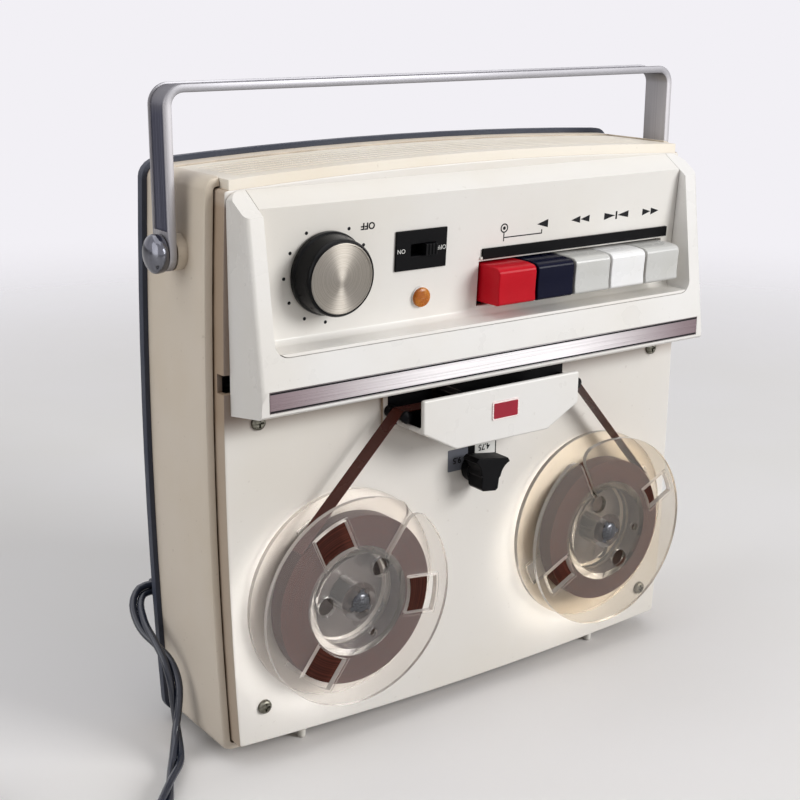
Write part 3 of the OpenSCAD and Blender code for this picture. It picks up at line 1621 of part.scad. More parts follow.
case_tub();
deck_plate();
control_housing();
control_panel();
trim_strip();
top_grille();
back_cover();
head_cover();
case_feet();
base_pads();
supply_reel();
takeup_reel();
supply_tape();
takeup_tape();
tape_run();
supply_spindle();
takeup_spindle();
shaft_bushes();
takeup_belt();
head_base();
tape_guides();
erase_head();
play_head();
pinch_arm();
pinch_roller();
capstan_shaft();
flywheel();
drive_motor();
motor_pulley();
drive_belt();
speed_knob();
volume_knob();
knob_cap();
volume_shaft();
volume_pot();
switch_plate();
switch_slider();
lamp_lens();
lamp_holder();
key_record();
key_play();
key_forward();
key_stop();
key_rewind();
key_shaft();
key_frame();
key_springs();
chassis();
loudspeaker();
amp_board();
power_transformer();
battery_box();
handle();
handle_pivots();
screws();
cord_gland();
cord_run();
cord_coil();
cord_tie();
plug();
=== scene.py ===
import json
import math

import bmesh
import bpy
from mathutils import Matrix, Vector

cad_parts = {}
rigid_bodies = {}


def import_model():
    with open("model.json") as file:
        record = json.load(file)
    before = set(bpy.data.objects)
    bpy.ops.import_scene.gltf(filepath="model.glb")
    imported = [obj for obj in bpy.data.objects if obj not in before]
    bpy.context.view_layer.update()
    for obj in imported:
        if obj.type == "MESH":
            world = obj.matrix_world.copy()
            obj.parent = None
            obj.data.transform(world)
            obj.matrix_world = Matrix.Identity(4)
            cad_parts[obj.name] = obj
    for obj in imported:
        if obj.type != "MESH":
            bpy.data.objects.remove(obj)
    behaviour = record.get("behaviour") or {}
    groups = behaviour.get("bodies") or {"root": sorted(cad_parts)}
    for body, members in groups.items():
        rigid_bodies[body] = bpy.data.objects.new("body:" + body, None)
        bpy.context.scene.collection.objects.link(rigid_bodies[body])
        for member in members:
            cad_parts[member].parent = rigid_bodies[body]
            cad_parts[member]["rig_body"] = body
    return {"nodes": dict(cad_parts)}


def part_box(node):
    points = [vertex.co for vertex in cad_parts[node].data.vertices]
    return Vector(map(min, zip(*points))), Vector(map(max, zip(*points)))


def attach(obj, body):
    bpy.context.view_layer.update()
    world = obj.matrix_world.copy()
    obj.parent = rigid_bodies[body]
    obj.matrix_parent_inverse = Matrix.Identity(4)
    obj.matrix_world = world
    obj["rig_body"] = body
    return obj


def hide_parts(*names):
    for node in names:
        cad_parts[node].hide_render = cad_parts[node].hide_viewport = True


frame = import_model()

for starter in ("Cube", "Camera", "Light"):
    if starter in bpy.data.objects:
        bpy.data.objects.remove(bpy.data.objects[starter])
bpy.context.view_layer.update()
nodes = frame["nodes"]
mm = 0.001
print("frame loaded:", len(nodes), "nodes")

# Camera, at the photograph's place; lengths in millimetres, angles in degrees
shot = {
    "eye": (-316.8, -412.6, 264.3),
    "azimuth": 35.755,
    "elevation": 16.104,
    "roll": 0.322,
    "focalPixels": 1431.27,
    "framePixels": 800,
    "sensor": 36.0,
    "nearest": 10.0,
}


def makeCamera():
    turn, lift, roll = (math.radians(shot[k]) for k in ("azimuth", "elevation", "roll"))
    back = Vector((-math.sin(turn) * math.cos(lift), -math.cos(turn) * math.cos(lift), math.sin(lift)))
    right = Vector((math.cos(turn), -math.sin(turn), 0))
    up = back.cross(right)
    tilted = right * math.cos(roll) + up * math.sin(roll)
    upright = up * math.cos(roll) - right * math.sin(roll)
    lens = bpy.data.cameras.new("camera")
    lens.sensor_width = shot["sensor"]
    lens.lens = shot["focalPixels"] / shot["framePixels"] * shot["sensor"]
    lens.clip_start = shot["nearest"] * mm
    camera = bpy.data.objects.new("camera", lens)
    camera.matrix_world = Matrix((
        (tilted.x, upright.x, back.x, shot["eye"][0] * mm),
        (tilted.y, upright.y, back.y, shot["eye"][1] * mm),
        (tilted.z, upright.z, back.z, shot["eye"][2] * mm),
        (0, 0, 0, 1)))
    bpy.context.scene.collection.objects.link(camera)
    bpy.context.scene.camera = camera


makeCamera()
print("camera placed")


# Small tools for shaders
def tone(red, green, blue):
    def linear(c):
        c /= 255
        return c / 12.92 if c <= 0.04045 else ((c + 0.055) / 1.055) ** 2.4
    return (linear(red), linear(green), linear(blue), 1)


def startFinish(name, sockets):
    material = bpy.data.materials.new(name)
    material.use_nodes = True
    shader = material.node_tree.nodes["Principled BSDF"]
    for socket, value in sockets.items():
        shader.inputs[socket].default_value = value
    return material, material.node_tree, shader


def feed(tree, shader, sources):
    for socket, source in sources.items():
        tree.links.new(source, shader.inputs[socket])


def place(tree, scale=(1, 1, 1), shift=(0, 0, 0), turn=(0, 0, 0)):
    coords = tree.nodes.new("ShaderNodeTexCoord")
    mapping = tree.nodes.new("ShaderNodeMapping")
    mapping.inputs["Location"].default_value = shift
    mapping.inputs["Rotation"].default_value = turn
    mapping.inputs["Scale"].default_value = scale
    tree.links.new(coords.outputs["Object"], mapping.inputs["Vector"])
    return mapping.outputs["Vector"]


def cloud(tree, where, scale, detail=3.0):
    node = tree.nodes.new("ShaderNodeTexNoise")
    node.inputs["Scale"].default_value = scale
    node.inputs["Detail"].default_value = detail
    tree.links.new(where, node.inputs["Vector"])
    return node.outputs["Fac"]


def span(tree, value, low, high, start=0.0, end=1.0):
    node = tree.nodes.new("ShaderNodeMapRange")
    node.interpolation_type = "SMOOTHSTEP"
    for socket, number in zip(("From Min", "From Max", "To Min", "To Max"), (low, high, start, end)):
        node.inputs[socket].default_value = number
    tree.links.new(value, node.inputs["Value"])
    return node.outputs["Result"]


def maths(tree, operation, *values):
    node = tree.nodes.new("ShaderNodeMath")
    node.operation = operation
    for socket, value in zip(node.inputs, values):
        if isinstance(value, (int, float)):
            socket.default_value = value
        else:
            tree.links.new(value, socket)
    return node.outputs[0]


def mixTone(tree, share, first, second):
    node = tree.nodes.new("ShaderNodeMix")
    node.data_type = "RGBA"
    for socket, value in zip((node.inputs[0], node.inputs[6], node.inputs[7]), (share, first, second)):
        if isinstance(value, tuple):
            socket.default_value = tone(*value)
        else:
            tree.links.new(value, socket)
    return node.outputs[2]


def axisParts(tree, where):
    node = tree.nodes.new("ShaderNodeSeparateXYZ")
    tree.links.new(where, node.inputs[0])
    return node.outputs


def radius(tree, where):
    x, y, _ = axisParts(tree, where)
    return maths(tree, "SQRT", maths(tree, "ADD", maths(tree, "MULTIPLY", x, x), maths(tree, "MULTIPLY", y, y)))


# Noise in rings about an axis along Y through a centre
def ringNoise(tree, centre, scale, detail):
    where = place(tree, shift=(-centre[0] * mm, centre[2] * mm, 0), turn=(math.pi / 2, 0, 0))
    node = tree.nodes.new("ShaderNodeTexNoise")
    node.noise_dimensions = "1D"
    node.inputs["Scale"].default_value = scale
    node.inputs["Detail"].default_value = detail
    tree.links.new(radius(tree, where), node.inputs["W"])
    return node.outputs[0]


def bump(tree, shader, height, strength, depth):
    node = tree.nodes.new("ShaderNodeBump")
    node.inputs["Strength"].default_value = strength
    node.inputs["Distance"].default_value = depth
    tree.links.new(height, node.inputs["Height"])
    tree.links.new(node.outputs["Normal"], shader.inputs["Normal"])


def crevice(tree, reach):
    node = tree.nodes.new("ShaderNodeAmbientOcclusion")
    node.samples = 8
    node.inputs["Distance"].default_value = reach
    return node.outputs["AO"]


# Finishes: colours from 0 to 255, noise scales per metre, depths in metres;
# a band is the two noise values between which an effect grows
midBand = (0.3, 0.7)
oldBrown = (112, 84, 52)
reelCentre = {"takeup": (-59.1, 0, 58.2), "supply": (59.1, 0, 58.2)}  # millimetres, as the next two
knobCentre = (-67.6, 0, 174.6)
flywheelCentre = (-16, 0, 125.67)

# Moulded plastics: patches of ageing, specks, dirt with painted shade in the corners and gaps between parts,
# fine moulded grain
plasticWearAndShade = {
    "patchBand": (0.4, 0.72),
    "topFade": 0.003,
    "sideBand": (0.3, 0.8),
    "speckScale": 420,
    "speckBand": (0.7, 0.78),
    "cornerBand": (0.25, 0.8),
    "grimeShadeScale": 90,
    "grimeShadeBand": (0.3, 0.65),
    "grimeShadeLeast": 0.25,
    "wearScale": 55,
    "smoother": 0.06,
    "rougher": 0.1,
    "grainDepth": 0.00012,
    "coatRough": 0.12,
}


def mouldedPlastic(name, base, aged, rough, dirtAndShade=oldBrown, patch=60, patchShare=0.5, specks=0.1, grimeAndShade=0.0,
                   reach=0.002, grain=0.12, grainScale=1400, coat=0.0, shine=0.4, heightAgeAndShade=None, sideDirtAndShade=None):
    w = plasticWearAndShade
    material, tree, shader = startFinish(name, {"Coat Weight": coat, "Coat Roughness": w["coatRough"],
                                                "Specular IOR Level": shine})
    where = place(tree)
    colour = mixTone(tree, span(tree, cloud(tree, where, patch, 5), *w["patchBand"], 0, patchShare), base, aged)
    # A height band: ageing on the case's top, and on the deck a painted shadow under the control housing
    if heightAgeAndShade:
        level = axisParts(tree, where)[2]
        above = span(tree, level, heightAgeAndShade["from"], heightAgeAndShade["to"], 0, heightAgeAndShade["share"])
        below = span(tree, level, heightAgeAndShade["until"] - w["topFade"], heightAgeAndShade["until"], 1, 0)
        colour = mixTone(tree, maths(tree, "MULTIPLY", above, below), colour, heightAgeAndShade["tone"])
    # Painted shade with dirt on faces turned away from the front, such as the deck plate's sides in their groove
    if sideDirtAndShade:
        facing = tree.nodes.new("ShaderNodeTexCoord").outputs["Normal"]
        turned = maths(tree, "ABSOLUTE", axisParts(tree, facing)[1])
        colour = mixTone(tree, span(tree, turned, *w["sideBand"], sideDirtAndShade["share"], 0), colour, sideDirtAndShade["tone"])
    speck = span(tree, cloud(tree, where, w["speckScale"], 2), *w["speckBand"], 0, specks)
    colour = mixTone(tree, speck, colour, dirtAndShade)
    # Dirt and painted shade: ambient occlusion darkens corners, recesses and the gaps between parts
    if grimeAndShade:
        corner = span(tree, crevice(tree, reach), *w["cornerBand"], 1, 0)
        uneven = span(tree, cloud(tree, where, w["grimeShadeScale"], 4), *w["grimeShadeBand"], w["grimeShadeLeast"], 1)
        share = maths(tree, "MULTIPLY", maths(tree, "MULTIPLY", corner, uneven), grimeAndShade)
        colour = mixTone(tree, share, colour, dirtAndShade)
    scuffs = cloud(tree, where, w["wearScale"], 6)
    worn = span(tree, scuffs, *midBand, rough - w["smoother"], rough + w["rougher"])
    feed(tree, shader, {"Base Color": colour, "Roughness": worn})
    bump(tree, shader, cloud(tree, where, grainScale, 2), grain, w["grainDepth"])
    return material


keyMould = dict(reach=0.0015, grain=0.05)
labelMould = dict(rough=0.4, patch=90, specks=0.2, grimeAndShade=0.3, reach=0.001)
plastics = {
    "caseCream": dict(
        base=(229, 217, 201), aged=(219, 204, 181), rough=0.42, patch=14, patchShare=0.7, specks=0.15,
        grimeAndShade=0.85, reach=0.0035,
        heightAgeAndShade={"from": 0.15, "to": 0.205, "until": 0.3, "share": 0.2, "tone": (218, 205, 182)}),
    "housingCream": dict(
        base=(237, 235, 232), aged=(231, 226, 217), rough=0.3, patch=16, patchShare=0.6, grimeAndShade=0.35, coat=0.1),
    "panelCream": dict(
        base=(236, 233, 228), aged=(230, 224, 213), rough=0.34, patch=16, patchShare=0.55, specks=0.08,
        grimeAndShade=0.3, grain=0.2, grainScale=2200),
    # The deck: painted shade in its corners and under the reels, painted shade on its side faces, a painted
    # shadow under the control housing
    "deckWhite": dict(
        base=(231, 227, 221), aged=(225, 218, 206), rough=0.4, patch=12, patchShare=0.6, specks=0.12,
        grimeAndShade=0.75, reach=0.0065, sideDirtAndShade={"share": 0.8, "tone": (178, 156, 132)},
        heightAgeAndShade={"from": 0.12, "to": 0.1296, "until": 0.2, "share": 0.8, "tone": (116, 90, 72)}),
    "grilleCream": dict(
        base=(245, 237, 223), aged=(239, 227, 207), rough=0.45, patch=20, patchShare=0.7, specks=0.15,
        grimeAndShade=0.12),
    "coverSlate": dict(
        base=(50, 55, 69), aged=(61, 66, 79), dirtAndShade=(96, 88, 76), rough=0.5, patch=22, patchShare=0.6,
        specks=0.25, grimeAndShade=0.3, reach=0.003, grain=0.35, grainScale=900, shine=0.3),
    "blackSatin": dict(
        base=(7, 7, 9), aged=(14, 14, 16), dirtAndShade=(54, 51, 46), rough=0.4, patch=40, specks=0.12, shine=0.08),
    "blackGloss": dict(
        base=(8, 8, 10), aged=(14, 14, 17), dirtAndShade=(48, 46, 44), rough=0.25, patch=40, patchShare=0.4, specks=0.08,
        grain=0.05, shine=0.12),
    "keyRed": dict(
        base=(198, 16, 34), aged=(182, 11, 28), dirtAndShade=(90, 20, 20), rough=0.2, specks=0.06, grimeAndShade=0.3, shine=0.1,
        **keyMould),
    "keyNavy": dict(base=(6, 9, 36), aged=(3, 5, 27), dirtAndShade=(50, 52, 66), rough=0.2, shine=0.08, **keyMould),
    "keyGrey": dict(base=(205, 205, 202), aged=(197, 196, 189), rough=0.24, grimeAndShade=0.4, coat=0.15, **keyMould),
    "keyWhite": dict(
        base=(243, 243, 243), aged=(238, 237, 234), rough=0.22, specks=0.06, grimeAndShade=0.4, coat=0.15, **keyMould),
    "pegWhite": dict(base=(232, 230, 224), aged=(216, 208, 190), rough=0.5, patch=80, specks=0.2, grimeAndShade=0.3),
    "printInk": dict(
        base=(20, 20, 23), aged=(34, 33, 35), dirtAndShade=(90, 88, 84), rough=0.55, patch=200, patchShare=0.6,
        specks=0.15, shine=0.14),
    "printWhite": dict(
        base=(226, 226, 222), aged=(206, 204, 198), dirtAndShade=(150, 146, 138), rough=0.5, patch=200, specks=0.2),
    "labelGrey": dict(base=(112, 115, 124), aged=(98, 100, 108), dirtAndShade=(76, 72, 68), **labelMould),
    "labelWhite": dict(base=(236, 236, 232), aged=(222, 219, 208), dirtAndShade=(150, 136, 110), **labelMould),
    "seatGrey": dict(base=(70, 60, 56), aged=(58, 49, 45), dirtAndShade=(42, 36, 31), rough=0.45, specks=0.15),
    "enamelRed": dict(
        base=(160, 12, 42), aged=(140, 8, 34), dirtAndShade=(84, 14, 26), rough=0.18, patch=120, coat=0.1, grain=0.04,
        shine=0.25),
    "cordPvc": dict(
        base=(42, 47, 60), aged=(34, 38, 50), dirtAndShade=(92, 90, 88), rough=0.18, specks=0.12, grain=0.03, shine=0.6),
    "tapeRibbon": dict(
        base=(82, 38, 30), aged=(68, 30, 24), dirtAndShade=(46, 22, 18), rough=0.3, grain=0.03, shine=0.2),
}

# Metals with a grain along one direction: fine across it, drawn out along it
brushing = {"roughBand": (0.25, 0.75), "smoother": 0.08, "rougher": 0.1, "depth": 0.00006}


def brushedMetal(name, base, shade, rough, along="x", fine=900, drawn=40, grain=0.15, paintedReflection=None,
                 edge=(1, 1, 1, 1)):
    material, tree, shader = startFinish(name, {"Metallic": 1.0, "Specular Tint": edge})
    scale = tuple(drawn if axis in along else fine for axis in "xyz")
    lines = cloud(tree, place(tree, scale), 1.0)
    colour = mixTone(tree, span(tree, lines, *midBand), shade, base)
    # Painted reflection: a band along one axis blends to another tone
    if paintedReflection:
        side = maths(tree, "ABSOLUTE", axisParts(tree, place(tree))[paintedReflection["axis"]])
        colour = mixTone(tree, span(tree, side, paintedReflection["from"], paintedReflection["to"]), colour, paintedReflection["tone"])
    worn = span(tree, lines, *brushing["roughBand"], rough - brushing["smoother"], rough + brushing["rougher"])
    feed(tree, shader, {"Base Color": colour, "Roughness": worn})
    bump(tree, shader, lines, grain, brushing["depth"])
    return material


strapBrush = dict(along="xz", fine=1500, drawn=9, edge=(0.45, 0.45, 0.47, 1))
# Painted reflection: the strap takes this tone towards its top; its dark channel stands for a reflection of a
# dark room
strapTopReflection = (138, 137, 140)
metals = {
    # The trim strip's darker ends are a painted reflection
    "trimAluminium": dict(
        base=(236, 233, 234), shade=(214, 211, 213), rough=0.32, fine=2400, drawn=14, grain=0.12,
        paintedReflection={"axis": 0, "from": 0.02, "to": 0.1, "tone": (126, 111, 115)}),
    "strapAluminium": dict(
        base=(176, 174, 176), shade=(158, 156, 158), rough=0.5, grain=0.06,
        paintedReflection={"axis": 2, "from": 0.2265, "to": 0.2335, "tone": strapTopReflection}, **strapBrush),
    "strapChannel": dict(
        base=(108, 109, 121), shade=(84, 85, 97), rough=0.4, grain=0.2,
        paintedReflection={"axis": 2, "from": 0.2245, "to": 0.2325, "tone": strapTopReflection}, **strapBrush),
    "badgeSilver": dict(base=(236, 224, 222), shade=(210, 194, 192), rough=0.3, fine=3000, grain=0.1),
    "chrome": dict(
        base=(118, 119, 126), shade=(98, 99, 106), rough=0.13, along="z", fine=300, drawn=60, grain=0.05),
    "spindleSteel": dict(
        base=(104, 105, 108), shade=(66, 67, 70), rough=0.2, along="y", fine=1800, drawn=60, grain=0.12),
    "plainSteel": dict(base=(186, 188, 190), shade=(146, 148, 151), rough=0.35, drawn=30),
    "screwSteel": dict(base=(132, 130, 119), shade=(92, 90, 80), rough=0.42, fine=1200, drawn=200, grain=0.2),
    "plainBrass": dict(base=(206, 168, 92), shade=(160, 124, 60), rough=0.3, along="y"),
    "oiledBronze": dict(base=(62, 52, 40), shade=(40, 33, 26), rough=0.45, along="y"),
    "pinBrass": dict(base=(214, 186, 112), shade=(170, 140, 76), rough=0.28, fine=1400, drawn=60),
}

# Turned metal: rings about a centre, the spun cap's shine drawn out across them
turning = {"detail": 2, "roughBand": (0.25, 0.75), "smoother": 0.06, "rougher": 0.1, "depth": 0.00008}


def turnedMetal(name, base, shade, centre, rough, rings, grain=0.25, aniso=0.0):
    material, tree, shader = startFinish(name, {"Metallic": 1.0, "Anisotropic": aniso})
    ring = ringNoise(tree, centre, rings, turning["detail"])
    worn = span(tree, ring, *turning["roughBand"], rough - turning["smoother"], rough + turning["rougher"])
    feed(tree, shader, {"Base Color": mixTone(tree, span(tree, ring, *midBand), shade, base), "Roughness": worn})
    bump(tree, shader, ring, grain, turning["depth"])
    if aniso:
        turned = tree.nodes.new("ShaderNodeVectorTransform")
        turned.vector_type = "VECTOR"
        turned.convert_from = "OBJECT"
        turned.convert_to = "WORLD"
        tree.links.new(place(tree, shift=tuple(-c * mm for c in centre)), turned.inputs[0])
        feed(tree, shader, {"Tangent": turned.outputs[0]})
    return material


turnedMetals = {
    "capSpun": dict(
        base=(168, 162, 153), shade=(132, 127, 119), centre=knobCentre, rough=0.42, rings=5200, grain=0.12,
        aniso=0.92),
    "flywheelBrass": dict(
        base=(208, 172, 98), shade=(164, 130, 68), centre=flywheelCentre, rough=0.28, rings=1400),
}

# Cloudy finishes: two tones in clouds, uneven gloss, a soft grain
softGrain = {"strength": 0.2, "depth": 0.0001}


def cloudyFinish(name, base, other, scale, detail, band, share, wearScale, wearBand, rough, grainScale, sockets):
    material, tree, shader = startFinish(name, sockets)
    where = place(tree)
    clouded = span(tree, cloud(tree, where, scale, detail), *band, 0, share)
    worn = span(tree, cloud(tree, where, wearScale), *wearBand, *rough)
    feed(tree, shader, {"Base Color": mixTone(tree, clouded, base, other), "Roughness": worn})
    bump(tree, shader, cloud(tree, where, grainScale, 2), softGrain["strength"], softGrain["depth"])
    return material


cloudy = {
    "blackRubber": dict(
        base=(24, 24, 25), other=(52, 51, 50), scale=160, detail=5, band=(0.45, 0.75), share=0.5, wearScale=70,
        wearBand=midBand, rough=(0.65, 0.85), grainScale=2200, sockets={}),
    "lensAmber": dict(
        base=(216, 136, 34), other=(186, 100, 18), scale=260, detail=4, band=(0.35, 0.7), share=1.0,
        wearScale=900, wearBand=(0.4, 0.7), rough=(0.18, 0.4), grainScale=700,
        sockets={"IOR": 1.5, "Transmission Weight": 0.2, "Specular IOR Level": 0.3}),
}

# Clear styrene: slight haze, fine scuffs; the low index keeps what lies behind in its place
styrene = {"index": 1.25, "coat": 0.5, "coatRough": 0.04, "hazeScale": 40, "hazeBand": (0.4, 0.7),
           "hazeShare": 0.6, "scuffScale": (1400, 40, 300), "scuffTurn": (0, 0.6, 0), "scuffBand": (0.55, 0.75),
           "scuffRough": 0.07}


def clearStyrene(name, base, haze, through=0.975, rough=0.0):
    s = styrene
    material, tree, shader = startFinish(name, {"IOR": s["index"], "Transmission Weight": through,
                                                "Coat Weight": s["coat"], "Coat Roughness": s["coatRough"]})
    veil = span(tree, cloud(tree, place(tree), s["hazeScale"], 4), *s["hazeBand"], 0, s["hazeShare"])
    scuffs = cloud(tree, place(tree, s["scuffScale"], turn=s["scuffTurn"]), 1.0, 2)
    feed(tree, shader, {"Base Color": mixTone(tree, veil, base, haze),
                        "Roughness": span(tree, scuffs, *s["scuffBand"], rough, rough + s["scuffRough"])})
    return material


styrenes = {
    "reelClear": dict(base=(240, 237, 234), haze=(232, 227, 222)),
    "reelAged": dict(base=(232, 225, 214), haze=(222, 212, 197)),
    # Painted highlight for the reels' edge faces
    "reelEdge": dict(base=(244, 237, 229), haze=(238, 228, 214), through=0.62, rough=0.15),
}

# Wound tape: its layers show as rings
windings = {"scale": 1500, "detail": 4, "band": (0.3, 0.75), "rough": (0.3, 0.5), "shine": 0.08, "relief": 0.3,
            "depth": 0.0001}


def woundTape(name, base, sheen, centre):
    material, tree, shader = startFinish(name, {"Specular IOR Level": windings["shine"]})
    layers = ringNoise(tree, centre, windings["scale"], windings["detail"])
    feed(tree, shader, {"Base Color": mixTone(tree, span(tree, layers, *windings["band"]), base, sheen),
                        "Roughness": span(tree, layers, *midBand, *windings["rough"])})
    bump(tree, shader, layers, windings["relief"], windings["depth"])
    return material


tapeBrown = dict(base=(46, 20, 14), sheen=(70, 34, 25))
tapePacks = {side + "Pack": dict(centre=centre, **tapeBrown) for side, centre in reelCentre.items()}

# Layered sheet: board, iron core, speaker paper
layering = {"distortion": 0.6, "streakBand": (0.2, 0.8), "patchScale": 60, "patchBand": (0.35, 0.7),
            "patchShare": 0.35, "wearScale": 120, "spread": 0.1, "relief": 0.3, "depth": 0.0001}


def layeredBoard(name, base, line, pitch, along, rough=0.6, metal=0.0):
    g = layering
    material, tree, shader = startFinish(name, {"Metallic": metal})
    where = place(tree)
    wave = tree.nodes.new("ShaderNodeTexWave")
    wave.bands_direction = along
    wave.inputs["Scale"].default_value = pitch
    wave.inputs["Distortion"].default_value = g["distortion"]
    tree.links.new(where, wave.inputs["Vector"])
    streak = mixTone(tree, span(tree, wave.outputs["Fac"], *g["streakBand"]), line, base)
    patch = span(tree, cloud(tree, where, g["patchScale"], 4), *g["patchBand"], 0, g["patchShare"])
    worn = span(tree, cloud(tree, where, g["wearScale"]), *midBand, rough - g["spread"], rough + g["spread"])
    feed(tree, shader, {"Base Color": mixTone(tree, patch, streak, line), "Roughness": worn})
    bump(tree, shader, wave.outputs["Fac"], g["relief"], g["depth"])
    return material


boards = {
    "resinBoard": dict(base=(138, 98, 52), line=(112, 76, 38), pitch=160, along="X"),
    "coreIron": dict(base=(98, 88, 78), line=(58, 50, 44), pitch=900, along="Y", rough=0.45, metal=0.6),
    "speakerPaper": dict(base=(46, 44, 42), line=(30, 29, 28), pitch=500, along="Z", rough=0.8),
}

finishes = {}
for maker, looks in ((mouldedPlastic, plastics), (brushedMetal, metals), (turnedMetal, turnedMetals),
                     (cloudyFinish, cloudy), (clearStyrene, styrenes), (woundTape, tapePacks),
                     (layeredBoard, boards)):
    for name, look in looks.items():
        finishes[name] = maker(name, **look)
print("finishes:", len(finishes))


# Small tools for meshes
def addPiece(name, mesh, finish, body="recorder"):
    piece = bpy.data.objects.new(name, mesh)
    bpy.context.scene.collection.objects.link(piece)
    mesh.materials.clear()
    mesh.materials.append(finishes[finish])
    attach(piece, body)
    return piece


def smoothen(mesh, angle):
    mesh.polygons.foreach_set("use_smooth", [True] * len(mesh.polygons))
    if angle:
        mesh.set_sharp_from_angle(angle=math.radians(angle))
    mesh.update()


def meshFrom(name, bm, smoothAngle=40):
    mesh = bpy.data.meshes.new(name)
    bmesh.ops.recalc_face_normals(bm, faces=bm.faces)
    bm.to_mesh(mesh)
    bm.free()
    smoothen(mesh, smoothAngle)
    return mesh


def applyModifiers(piece):
    graph = bpy.context.evaluated_depsgraph_get()
    mesh = bpy.data.meshes.new_from_object(piece.evaluated_get(graph))
    piece.modifiers.clear()
    old, piece.data = piece.data, mesh
    bpy.data.meshes.remove(old)


# Cosines and sines of a full turn in equal steps
def around(count):
    return [(math.cos(2 * math.pi * k / count), math.sin(2 * math.pi * k / count)) for k in range(count)]


# A closed skin over rings of points, one ring after another
def addTube(bm, rings):
    loops = [[bm.verts.new(p) for p in ring] for ring in rings]
    for a, b in zip(loops, loops[1:]):
        for k in range(len(a)):
            nextK = (k + 1) % len(a)
            bm.faces.new((a[k], a[nextK], b[nextK], b[k]))
    bm.faces.new(loops[0][::-1])
    bm.faces.new(loops[-1])


# A node's own shape with its edges eased, standing for that node; weld in metres, angles in degrees
easing = {"weld": 3e-6, "flat": 0.15, "edgeAngle": 38}


def cleanCopy(node):
    bm = bmesh.new()
    bm.from_mesh(nodes[node].data)
    bmesh.ops.remove_doubles(bm, verts=bm.verts, dist=easing["weld"])
    bmesh.ops.dissolve_limit(bm, angle_limit=math.radians(easing["flat"]), verts=bm.verts, edges=bm.edges)
    bmesh.ops.connect_verts_concave(bm, faces=bm.faces)  # no face spans an opening
    return bm


def eased(node, finish, width, segments=2, clamped=True):
    mesh = meshFrom(node + "_eased", cleanCopy(node), None)
    piece = addPiece(node + "_eased", mesh, finish, nodes[node]["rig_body"])
    bevel = piece.modifiers.new("ease", "BEVEL")
    bevel.width = width * mm
    bevel.segments = segments
    bevel.limit_method = "ANGLE"
    bevel.angle_limit = math.radians(easing["edgeAngle"])
    bevel.use_clamp_overlap = clamped
    bevel.miter_outer = "MITER_ARC"
    piece.modifiers.new("weigh", "WEIGHTED_NORMAL")
    applyModifiers(piece)
    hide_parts(node)
    return piece


# Cord, in millimetres and degrees: the route's points, then the coil and its tail
cordLine = {
    "diameter": 5.6,
    "strand": 2.75,
    "lay": 62.0,
    "sides": 10,
    "step": 2.2,
    "route": [(-104.5, 38.6, 50), (-109, 38.6, 49.5), (-112.8, 35, 46.3), (-114, 28, 41), (-113, 20, 37),
              (-112, 13, 32.5), (-111.5, 9, 25.5), (-112, 7.5, 17.5), (-113, 6, 10), (-115.5, 1, 5),
              (-119, -5, 3.0), (-126, -15, 3.0), (-133, -25, 3.0), (-139, -31.2, 3.0), (-147, -34.6, 3.0),
              (-158, -35.6, 3.0), (-174, -36.2, 3.0), (-192, -36.8, 3.8), (-210, -37, 3.8)],
    "coilCentre": (-231, 8),
    "coilStart": 270,
    "coilInner": 22,
    "coilPitch": 6.2,
    "perTurn": 24,
    "half": 84,
    "tail": 6,
    "flare": 7,
    "flareRate": 1.4,
    "dropStart": 0.2,  # of the tail
    "dropLength": 0.6,
    "floor": 3.8,
    "plugBody": 26.5,  # from the cord's end to where the pins start
}


def easeStep(t):
    t = min(max(t, 0), 1)
    return t * t * (3 - 2 * t)


def coilPoint(k):
    c = cordLine
    past = k - 2 * c["half"]
    reach = c["coilInner"] + c["coilPitch"] * abs(k - c["half"]) / c["perTurn"]
    reach += c["flare"] * easeStep(past / c["tail"] * c["flareRate"])
    height = c["floor"] + c["coilPitch"] * easeStep((k - c["half"] + c["perTurn"] / 4) / (c["perTurn"] / 2))
    height -= c["coilPitch"] * easeStep((past - c["dropStart"] * c["tail"]) / c["tail"] / c["dropLength"])
    angle = math.radians(c["coilStart"] - 360 * k / c["perTurn"])
    x, y = c["coilCentre"]
    return Vector((x + reach * math.cos(angle), y + reach * math.sin(angle), height))


def cordPoints():
    coil = [coilPoint(k) for k in range(2 * cordLine["half"] + cordLine["tail"] + 1)]
    lead = coil[0] + (coil[0] - coil[1]).normalized() * cordLine["diameter"]
    end = coil[-1] + (coil[-1] - coil[-2]).normalized() * cordLine["diameter"]
    return [Vector(p) * mm for p in [*cordLine["route"], lead, *coil, end]]


def smoothLine(points, step):
    line = []
    ends = [2 * points[0] - points[1], *points, 2 * points[-1] - points[-2]]
    for a, b, c, d in zip(ends, ends[1:], ends[2:], ends[3:]):
        count = max(1, round((c - b).length / step))
        for i in range(count):
            t = i / count
            line.append(0.5 * (2 * b + (c - a) * t + (2 * a - 5 * b + 4 * c - d) * t * t
                               + (3 * b - a - 3 * c + d) * t * t * t))
    return [*line, points[-1]]


def carriedFrames(line):
    frames = []
    side = Vector((0, 0, 1))
    for i, point in enumerate(line):
        ahead = (line[min(i + 1, len(line) - 1)] - line[max(i - 1, 0)]).normalized()
        side = (side - ahead * side.dot(ahead)).normalized()
        frames.append((point, side.copy(), ahead.cross(side)))
    return frames


